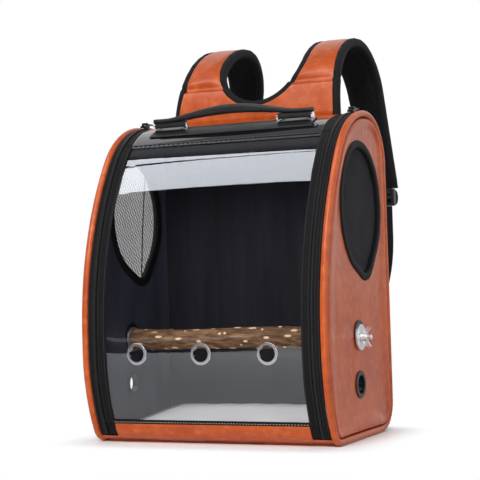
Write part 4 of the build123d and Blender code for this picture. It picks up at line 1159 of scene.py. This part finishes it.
def leaned(points):
    """Points of the flat pad, raised about its front lower edge until its back end rests on the heel."""
    along, up = points[..., 1] + mat_half[1], points[..., 2]
    y = mat_low.y + 0.0006 + along * np.cos(mat_lean) - up * np.sin(mat_lean)
    z = mat_low.z + 0.0003 + along * np.sin(mat_lean) + up * np.cos(mat_lean)
    return np.stack((points[..., 0], y, z), axis=-1)


mat_points = leaned(pad_rows(mat_half, mat_corner, 0.0076, 0.0006, mat_relief))
fleece = Finish("white fleece", screen(240, 240, 240), 0.9, Sheen_Weight=0.25, Sheen_Roughness=0.5,
                Specular_IOR_Level=0.2)
fleece_tufts = fleece.noise(0.0022, detail=4.0)
fleece_swells = fleece.noise(0.040, detail=2.0)
fleece.tint(fleece_swells, screen(240, 239, 242), screen(252, 251, 253))
fleece.relief(fleece_tufts, 0.0008)
mat_piece = add_piece(grid_mesh("floor_mat_fleece", mat_points), fleece, "mat", ["floor_mat"])
grey_hem, _ = ribbed_tape("grey hem", ((150, 150, 154), (132, 132, 138), (168, 168, 172)), 0.7,
                          0.0011, 0.0001)
hem_section = full_turn(12)
hem_edge = rounded_square(full_turn(420)[:, None], mat_half - 0.0012, mat_corner)
hem_out = hem_edge / np.linalg.norm(hem_edge, axis=-1, keepdims=True)
hem_plan = hem_edge + hem_out * 0.0013 * np.cos(hem_section)[:, None]
hem_height = np.broadcast_to(0.0040 + 0.0024 * np.sin(hem_section), hem_plan.shape[:2])
hem_points = leaned(np.concatenate((hem_plan, hem_height[..., None]), axis=-1))
add_piece(grid_mesh("floor_mat_hem", hem_points, round_rows=True), grey_hem, "mat")

# ---------------------------------------------------------------- carrying handle
# A stitched, arched grip of coated black leather on a folded core, which swings on a pin in the
# bracket at each end. The wide black strip under it is sewn over the crown and carries both.

black_leather = Finish("black coated leather", screen(26, 26, 27), 0.40, Specular_IOR_Level=0.3)
black_leather_swell = black_leather.noise(0.012, detail=4.0)
black_leather.put("Roughness", 0.30 + 0.22 * black_leather_swell)
black_leather.tint(black_leather_swell, screen(20, 20, 21), screen(36, 36, 38))
black_leather.relief(black_leather.cells(0.0009), 0.00006)

handle_low, handle_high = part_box("handle_grip")
_, pin_y, pin_z = middle_of("handle_pins")
pin_end_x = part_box("handle_pins")[1].x
grip_half_length, grip_half_depth = handle_high.x, (handle_high.y - handle_low.y) / 2
arch_top, arch_under = handle_high.z - pin_z, 0.0094
end_top, end_under = 0.0088, 0.0034
flat_end = 0.058
grip_x = np.linspace(-grip_half_length, grip_half_length, 340)[:, None]


def grip_faces(x):
    """The grip's upper and lower face above its pins, and its arch as a share: half a cosine."""
    arch = np.cos(np.clip(np.abs(x) / (flat_end * 1.55), 0, 1) * np.pi / 2) ** 1.3
    return end_top + (arch_top - end_top - 0.0006) * arch, end_under + (arch_under - end_under) * arch, arch


grip_top, grip_under, arch_share = grip_faces(grip_x)
end_taper = soft_edges(grip_x, -grip_half_length, grip_half_length, 0.010)
grip_depth = (grip_half_depth - 0.0008) * (0.90 + 0.10 * arch_share) * (0.55 + 0.45 * end_taper)
wide, deep = blunt_round(44, 0.55, 0.75)
seam_ridge = 0.0005 * np.exp(-((np.abs(wide) - 0.86) / 0.05) ** 2)
grip_mid, grip_half_height = (grip_top + grip_under) / 2, (grip_top - grip_under) / 2
crease = 0.0003 * np.sin(grip_x / 0.0026) * np.exp(-((np.abs(grip_x) - flat_end) / 0.012) ** 2)
grip_height = grip_mid + (grip_half_height + crease) * deep + seam_ridge
grip_points = np.stack(np.broadcast_arrays(grip_x, pin_y + grip_depth * wide, pin_z + grip_height), axis=-1)
grip_mesh = grid_mesh("handle_grip_leather", grip_points)
add_piece(grip_mesh, black_leather, "handle", ["handle_grip"])
seam_share = 0.78
seam_half_length = grip_half_length - 0.006
for edge, shift in (("front", -seam_share), ("rear", seam_share)):
    line_x = np.linspace(-seam_half_length, seam_half_length, 400)
    line_top, line_under, _ = grip_faces(line_x)
    shoulder = (1 - seam_share ** (2 / 0.55)) ** 0.375
    line_z = pin_z + (line_top + line_under) / 2 + (line_top - line_under) / 2 * shoulder
    line = np.column_stack((line_x, np.full(400, pin_y + shift * (grip_half_depth - 0.0016)), line_z))
    outward = np.broadcast_to((0.0, 0.35 * shift, 0.93), line.shape)
    stitches(f"handle_stitches_{edge}", line, outward, black_thread, "grip_leather", "handle", 0.0036)

knuckle_near, knuckle_far = pin_end_x - 0.0466, pin_end_x - 0.0024
knuckle_across, knuckle_up = np.cos(full_turn(44)), np.sin(full_turn(44))
knuckle_lift = np.where(knuckle_up < 0, 0.0031 * knuckle_up, 0.0046 * np.abs(knuckle_up) ** 0.5)
for side, sign in sides:
    knuckle_x = sign * np.linspace(knuckle_near, knuckle_far, 40)[:, None]
    knuckle = np.broadcast_arrays(knuckle_x, pin_y + 0.0031 * knuckle_across, pin_z + knuckle_lift)
    knuckle_mesh = grid_mesh(f"handle_knuckle_{side}", np.stack(knuckle, axis=-1))
    add_piece(knuckle_mesh, black_leather, "handle")

strip_first, strip_last = crown_distance(20.0), crown_distance(33.4)
strip_half_width = pin_end_x + 0.0010


def strip_lift(way, x):
    """A flat strip with a doubled, raised margin all round."""
    margin = np.minimum(np.minimum(way - strip_first, strip_last - way), strip_half_width - np.abs(x))
    raised = 0.0004 * (1 - np.clip((margin - 0.004) / 0.001, 0, 1))
    return raised * np.clip(margin / 0.0008, 0, 1) - 0.0003


strip_mesh = wide_strip("handle_strip", np.linspace(strip_first, strip_last, 60),
                        np.linspace(-strip_half_width, strip_half_width, 220), 0.0005, 0.0014, strip_lift)
add_piece(strip_mesh, black_leather, replaces=["handle_base"])


def margin_lift(way, x):
    """The sheet's glossy upper margin, which runs up under the strip: slow waves, and thin edges."""
    waves = ripple(way / 0.03 + x / 0.09, x / 0.04)
    return 0.0002 * waves * soft_edges(np.abs(x), -1.0, margin_half_width, 0.01)


margin_half_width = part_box("handle_base")[1].x
margin_ways = np.linspace(crown_distance(21.0), crown_distance(41.12), 50)
margin_columns = np.linspace(-margin_half_width, margin_half_width, 200)
margin_mesh = wide_strip("cover_upper_margin", margin_ways, margin_columns, 0.0023, 0.0008, margin_lift)
add_piece(margin_mesh, margin_sheet)
for edge, way_at in (("rear", strip_first + 0.0022), ("front", strip_last - 0.0022)):
    stitch_end = strip_half_width - 0.002
    skin_stitches(f"handle_strip_stitches_{edge}", way_at, np.linspace(-stitch_end, stitch_end, 400), 0.0003,
                  black_thread, "black_webbing", "root", 0.0036)

# ---------------------------------------------------------------- yoke and shoulder straps
# Foam between leather outside and black air mesh inside, bound all round with folded tape.
# The yoke rises from the crown; each strap is sewn to it and arches over to the back.

yoke_foot = np.array((0.0728, 0.402))
yoke_lean = np.radians(10.0)
yoke_bend_z, seam_z = 0.424, 0.456
front_arch_radius, back_arch_radius = 0.110, 0.062
strap_end_z = 0.318
bend_y = yoke_foot[0] + (yoke_bend_z - yoke_foot[1]) * np.sin(yoke_lean)
front_arch_centre = np.array((bend_y + front_arch_radius * np.cos(yoke_lean),
                              yoke_bend_z - front_arch_radius * np.sin(yoke_lean)))
arch_top_z = front_arch_centre[1] + front_arch_radius
back_arch_centre = np.array((front_arch_centre[0], arch_top_z - back_arch_radius))
strap_back_y = back_arch_centre[0] + back_arch_radius
runs = [np.linspace(yoke_foot, (bend_y, yoke_bend_z), 60)]
for centre, radius, first, last in ((front_arch_centre, front_arch_radius, np.pi - yoke_lean, np.pi / 2),
                                    (back_arch_centre, back_arch_radius, np.pi / 2, 0.0)):
    turn = np.linspace(first, last, 300)
    runs.append(centre + radius * np.stack((np.cos(turn), np.sin(turn)), axis=1))
runs.append(np.linspace((strap_back_y, back_arch_centre[1]), (strap_back_y, strap_end_z), 200))
strap_line = np.concatenate([run[(1 if k else 0):] for k, run in enumerate(runs)])
strap_way = run_along(strap_line)
strap_steps = np.gradient(strap_line, strap_way, axis=0)
strap_out = np.stack((-strap_steps[:, 1], strap_steps[:, 0]), axis=1)
top_step = strap_line[:, 1].argmax()
rising_z, rising_way = strap_line[:top_step, 1], strap_way[:top_step]
top_way = strap_way[top_step]
seam_strap_way = strap_way[np.argmin(np.abs(rising_z - seam_z))]
strap_length = strap_way[-1]


def along_strap(way):
    """Middle (y, z) of the strap, and its outward direction, at a distance from the yoke's foot."""
    out = read_off(way, strap_way, strap_out)
    return read_off(way, strap_way, strap_line), out / np.linalg.norm(out, axis=-1, keepdims=True)


neck_centre_z, neck_radius = 0.489, 0.055
yoke_foot_half, yoke_seam_half, strap_top_half = 0.120, 0.116, 0.110
strap_end_inner, strap_end_outer = 0.092, 0.135


def strap_edges(way):
    """The inner and outer x of a strap: round the neck, straight up, and splayed down the back."""
    z = along_strap(way)[0][..., 1]
    rising = way < top_way
    round_neck = np.sqrt(np.clip(neck_radius**2 - np.clip(neck_centre_z - z, 0, None) ** 2, 0, None))
    fall = np.clip((arch_top_z - z) / (arch_top_z - strap_end_z), 0, 1)
    rise = np.clip((z - seam_z) / (arch_top_z - seam_z), 0, 1)
    inner = np.where(rising, round_neck, neck_radius + (strap_end_inner - neck_radius) * fall)
    outer = np.where(rising, yoke_seam_half + (strap_top_half - yoke_seam_half) * rise,
                     strap_top_half + (strap_end_outer - strap_top_half) * fall)
    return inner, outer


def strap_point(way, x, height):
    """The point at x across the strap and height above its middle layer, outwards."""
    way, x, height = np.broadcast_arrays(way, x, height)
    middle, out = along_strap(way)
    return in_space(x, middle + out * height[..., None])


def seam_pinch(way):
    """How thick the padding is, as a share: pulled in at the seam and at the strap's end."""
    at_seam = np.exp(-(((way - seam_strap_way) / 0.0055) ** 2))
    at_end = np.exp(-(((strap_length - way) / 0.010) ** 2))
    return 1 - 0.55 * at_seam - 0.35 * at_end


# From the strap's edge the foam starts in by one margin, and the leather face by both.
foam_margin, face_margin = 0.0030, 0.0036
foam_front, foam_back = 0.0042, 0.0054
binding_middle, binding_half_width = 0.0049, 0.0051


def strap_pieces(name, ways, sign, node):
    """Padding, leather face and two bound edges of one strap, from its edges at each way."""
    ways = ways[:, None]
    inner, outer = strap_edges(ways)
    wide, deep = blunt_round(60, 0.45, 0.6)
    pinch = seam_pinch(ways)
    middle, half = (inner + outer) / 2, (outer - inner) / 2 - foam_margin
    quilt = 0.0007 * ripple(ways / 0.013 + wide, ways / 0.008 - 3 * wide)
    height = np.where(deep > 0, foam_front, foam_back + quilt) * deep * pinch
    pad = grid_mesh(f"{name}_padding", strap_point(ways, sign * (middle + half * wide), height))
    pad_piece = add_piece(pad, air_mesh, replaces=[node])

    share = np.linspace(-1.0, 1.0, 60)[None, :]
    face_half = half - face_margin
    slack = ripple(ways / 0.019 + 2 * share + sign, ways / 0.0105 - 1.7 * share, 3 * share + ways / 0.031)
    crown = 0.0018 * (1 - share**4) + 0.00045 * slack * (1 - share**8)
    across = sign * (middle + face_half * share)
    top = strap_point(ways, across, (0.0046 + crown) * pinch)
    under = strap_point(ways, across, 0.0034 * pinch)
    add_piece(sheet_mesh(f"{name}_leather", top, under), tan_leather)

    hug, rise = blunt_round(18, 0.7, 0.7)
    gather = 1 + 0.03 * np.sin(ways / 0.0031) + 0.02 * np.sin(ways / 0.0077 + 1)
    for edge, x, inward in (("inner", inner, 1.0), ("outer", outer, -1.0)):
        across = x + inward * (binding_middle + binding_half_width * hug)
        tube = strap_point(ways, sign * across, 0.0061 * rise * pinch * gather)
        add_piece(grid_mesh(f"{name}_binding_{edge}", tube), black_binding)


air_mesh = Finish("black air mesh", screen(24, 24, 26), 0.85, Specular_IOR_Level=0.1)
mesh_holes = air_mesh.cells(0.0026)
# The holes are painted near black: painted shade down inside them.
air_mesh.tint(mesh_holes.above(0.32, 0.12), screen(6, 6, 8), screen(24, 24, 27))
air_mesh.relief(mesh_holes, 0.0005)
black_binding, _ = ribbed_tape("black binding", ((24, 24, 26), (10, 10, 11), (22, 22, 24)), 0.7, 0.0012,
                               0.00010, Specular_IOR_Level=0.15)
tan_thread = thread_finish("tan thread", screen(150, 74, 36), 0.55, 0.45)

for side, sign in sides:
    strap_ways = np.linspace(seam_strap_way - 0.0030, strap_length, 330)
    strap_pieces(f"strap_{side}", strap_ways, sign, f"shoulder_strap_{side}")
    seam_row_way = seam_strap_way + 0.0035
    seam_inner, seam_outer = strap_edges(seam_row_way)
    seam_x = sign * np.linspace(seam_inner + 0.011, seam_outer - 0.011, 160)
    line = strap_point(seam_row_way, seam_x, 0.0060 * 0.86)
    outward = np.broadcast_to(np.append(0.0, along_strap(seam_row_way)[1]), line.shape)
    stitches(f"strap_seam_stitches_{side}", line, outward, tan_thread, "tan_leather", "root", 0.0046)
    way = np.linspace(seam_strap_way + 0.006, strap_length - 0.004, 600)
    outward = in_space(0.0, along_strap(way)[1])
    inner, outer = strap_edges(way)
    for edge, x in (("inner", inner + 0.0116), ("outer", outer - 0.0116)):
        line = strap_point(way, sign * x, 0.0058 * seam_pinch(way))
        stitches(f"strap_{edge}_stitches_{side}", line, outward, tan_thread, "tan_leather", "root", 0.0046)

# The yoke: one piece of the same make, from its sewn-in foot up to the two seams, and hollowed
# between them for the neck.
yoke_share = np.linspace(-1.0, 1.0, 221)


def yoke_top(x):
    """The height of the yoke's upper edge: the seams, and the round hollow between them."""
    hollow = neck_centre_z - np.sqrt(np.clip(neck_radius**2 - x**2, 0, None))
    return np.where(np.abs(x) < np.sqrt(neck_radius**2 - (neck_centre_z - seam_z) ** 2), hollow, seam_z)


yoke_up = np.linspace(0.0, 1.0, 60)[:, None]
yoke_x = yoke_share[None, :] * (yoke_seam_half - 0.0016)
yoke_top_way = np.interp(yoke_top(yoke_x), rising_z, rising_way) - 0.0006
yoke_way = 0.0004 + (yoke_top_way - 0.0004) * yoke_up
spread = 1 + (yoke_foot_half / yoke_seam_half - 1) * (1 - yoke_up)
thin_top = np.sqrt(np.clip((yoke_top_way - yoke_way) / 0.006, 0.12, 1))
thin_foot = 0.45 + 0.55 * np.clip(yoke_way / 0.010, 0, 1)
thin_side = np.sqrt(np.clip((1 - np.abs(yoke_share[None, :])) * yoke_seam_half / 0.005, 0.10, 1))
yoke_thick = thin_top * thin_foot * thin_side
yoke_slack = ripple(yoke_x / 0.023 + yoke_way / 0.03, yoke_x / 0.012 - yoke_way / 0.018, yoke_way / 0.011)


def yoke_layer(name, upper, lower):
    """One layer of the yoke, between two heights above the strap's middle layer."""
    upper, lower = (strap_point(yoke_way, yoke_x * spread, height * yoke_thick) for height in (upper, lower))
    return sheet_mesh(name, upper, lower)


yoke_leather = yoke_layer("yoke_leather", 0.0056 + 0.0004 * yoke_slack, -0.0010)
add_piece(yoke_leather, tan_leather, replaces=["shoulder_yoke"])
yoke_mesh = yoke_layer("yoke_padding", -0.0012, -0.0054 - 0.0003 * yoke_slack)
yoke_pad = add_piece(yoke_mesh, air_mesh)


def bind_yoke(name, way, x, aside):
    """Binds an edge of the yoke with a tube along the strap's middle layer.

    The direction aside, as (x, way), points across the edge."""
    hug, rise = blunt_round(18, 0.7, 0.7)
    hug = binding_half_width * hug
    tube = strap_point(way[:, None] + hug * aside[:, 1:], x[:, None] + hug * aside[:, :1], 0.0063 * rise)
    add_piece(grid_mesh(name, tube), black_binding)


for side, sign in sides:
    way = np.linspace(0.0006, seam_strap_way, 90)
    x = yoke_foot_half + (yoke_seam_half - yoke_foot_half) * way / seam_strap_way - binding_middle
    bind_yoke(f"yoke_binding_{side}", way, sign * x, np.broadcast_to((1.0, 0.0), (90, 2)))
neck_turn = np.linspace(np.radians(-143.2), np.radians(-36.8), 160)
neck_reach = np.column_stack((np.cos(neck_turn), np.sin(neck_turn)))
neck_x, neck_z = ((0.0, neck_centre_z) + (neck_radius + 0.0046) * neck_reach).T
neck_way = np.interp(neck_z, rising_z, rising_way)
bind_yoke("neck_binding", neck_way, neck_x, neck_reach)

# ---------------------------------------------------------------- back pad and lower webbing
# A sewn panel of air mesh over foam for the wearer's back, and below it the webbing that runs
# up to the straps through the ladder locks, its spare end rolled up.

back_low, back_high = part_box("back_pad")
back_half = np.array((back_high.x - back_low.x, back_high.z - back_low.z)) / 2
back_middle = np.array(middle_of("back_pad").xz)
back_thickness = back_high.y - back_low.y


def back_relief(x, z, inside):
    """Sewn channels: two uprights and five level rows, pressed into the foam."""
    level = np.abs(np.mod(z + 0.026, 0.052) - 0.026)
    upright = np.abs(np.abs(x) - 0.034)
    pressed = np.exp(-((level / 0.0042) ** 2)) + 0.9 * np.exp(-((upright / 0.0042) ** 2))
    return -0.0056 * np.clip(pressed, 0, 1.05) - 0.0004 + 0.0004 * ripple(x / 0.009, z / 0.011)


back_rows = pad_rows(back_half, 0.022, back_thickness, 0.0, back_relief, rings=84, spokes=460)
back_points = np.stack((back_rows[..., 0] + back_middle[0], back_low.y + back_rows[..., 2],
                        back_rows[..., 1] + back_middle[1]), axis=-1)
back_mesh = grid_mesh("back_cushion", back_points)
back_piece = add_piece(back_mesh, air_mesh, replaces=["back_pad"])

webbing, _ = ribbed_tape("black webbing", ((30, 30, 32), (18, 18, 20), (44, 44, 47)), 0.6, 0.0016,
                         0.00018, 0.0030, 1.0, Specular_IOR_Level=0.15)
webbing_width, webbing_thick = 0.025, 0.0020
# Its corners (y, z): down from the ladder lock, in to the back panel, and down to the anchor.
webbing_path = ((0.2470, 0.2934), (0.2470, 0.2220), (0.1820, 0.1260), (0.1172, 0.1000), (0.1172, 0.0560))
webbing_radii = (0.100, 0.100, 0.028)


def rounded_path(corners, radii):
    """Points along straight runs whose corners are turned by tangent arcs of the given radii."""
    corners = np.array(corners)
    runs = [corners[:1]]
    for before, corner, after, radius in zip(corners, corners[1:], corners[2:], radii):
        arriving = (corner - before) / np.linalg.norm(corner - before)
        leaving = (after - corner) / np.linalg.norm(after - corner)
        bend = np.arccos(np.clip(arriving @ leaving, -1, 1))
        reach = radius * np.tan(bend / 2)
        inwards = (leaving - arriving) / np.linalg.norm(leaving - arriving)
        centre = corner + inwards * radius / np.cos(bend / 2)
        start = corner - arriving * reach - centre
        swing = np.sign(arriving[0] * leaving[1] - arriving[1] * leaving[0])
        turn = swing * np.linspace(0, bend, 30)[:, None]
        aside = np.array((-start[1], start[0]))
        runs.append(centre + start * np.cos(turn) + aside * np.sin(turn))
    runs.append(corners[-1:])
    line = np.concatenate(runs)
    way = run_along(line)
    return read_off(np.linspace(0, way[-1], int(way[-1] / 0.0015)), way, line)


def ribbon(name, line, x_middle, width, thickness):
    """Flat webbing along a line (y, z): a rounded bar width across x and thickness deep."""
    steps = np.gradient(line, axis=0)
    out = np.stack((steps[:, 1], -steps[:, 0]), axis=1)
    out /= np.linalg.norm(out, axis=1)[:, None]
    wide, deep = blunt_round(24, 0.3, 0.5)
    yz = line[:, None, :] + thickness / 2 * deep[:, None] * out[:, None, :]
    return grid_mesh(name, in_space(x_middle + width / 2 * wide, yz))


webbing_x = (strap_end_inner + strap_end_outer) / 2
roll_low, roll_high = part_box("webbing_roll_right")
roll_centre = np.array((roll_low.y + roll_high.y, roll_low.z + roll_high.z)) / 2
roll_radius = (roll_high.z - roll_low.z) / 2 - 0.0008
roll_turn = np.linspace(0, 2 * np.pi * 4.2, 500)
roll_reach = roll_radius - 0.0011 - 0.0023 * (roll_turn[-1] - roll_turn) / (2 * np.pi)
roll_line = roll_centre + roll_reach[:, None] * np.stack((np.cos(roll_turn), np.sin(roll_turn)), axis=1)
for side, sign in sides:
    for name, line, thickness, node in (
        ("lower_webbing_strap", rounded_path(webbing_path, webbing_radii), webbing_thick, "lower_webbing"),
        ("rolled_spare_webbing", roll_line, 0.0019, "webbing_roll"),
    ):
        mesh = ribbon(f"{name}_{side}", line, sign * webbing_x, webbing_width, thickness)
        add_piece(mesh, webbing, replaces=[f"{node}_{side}"])
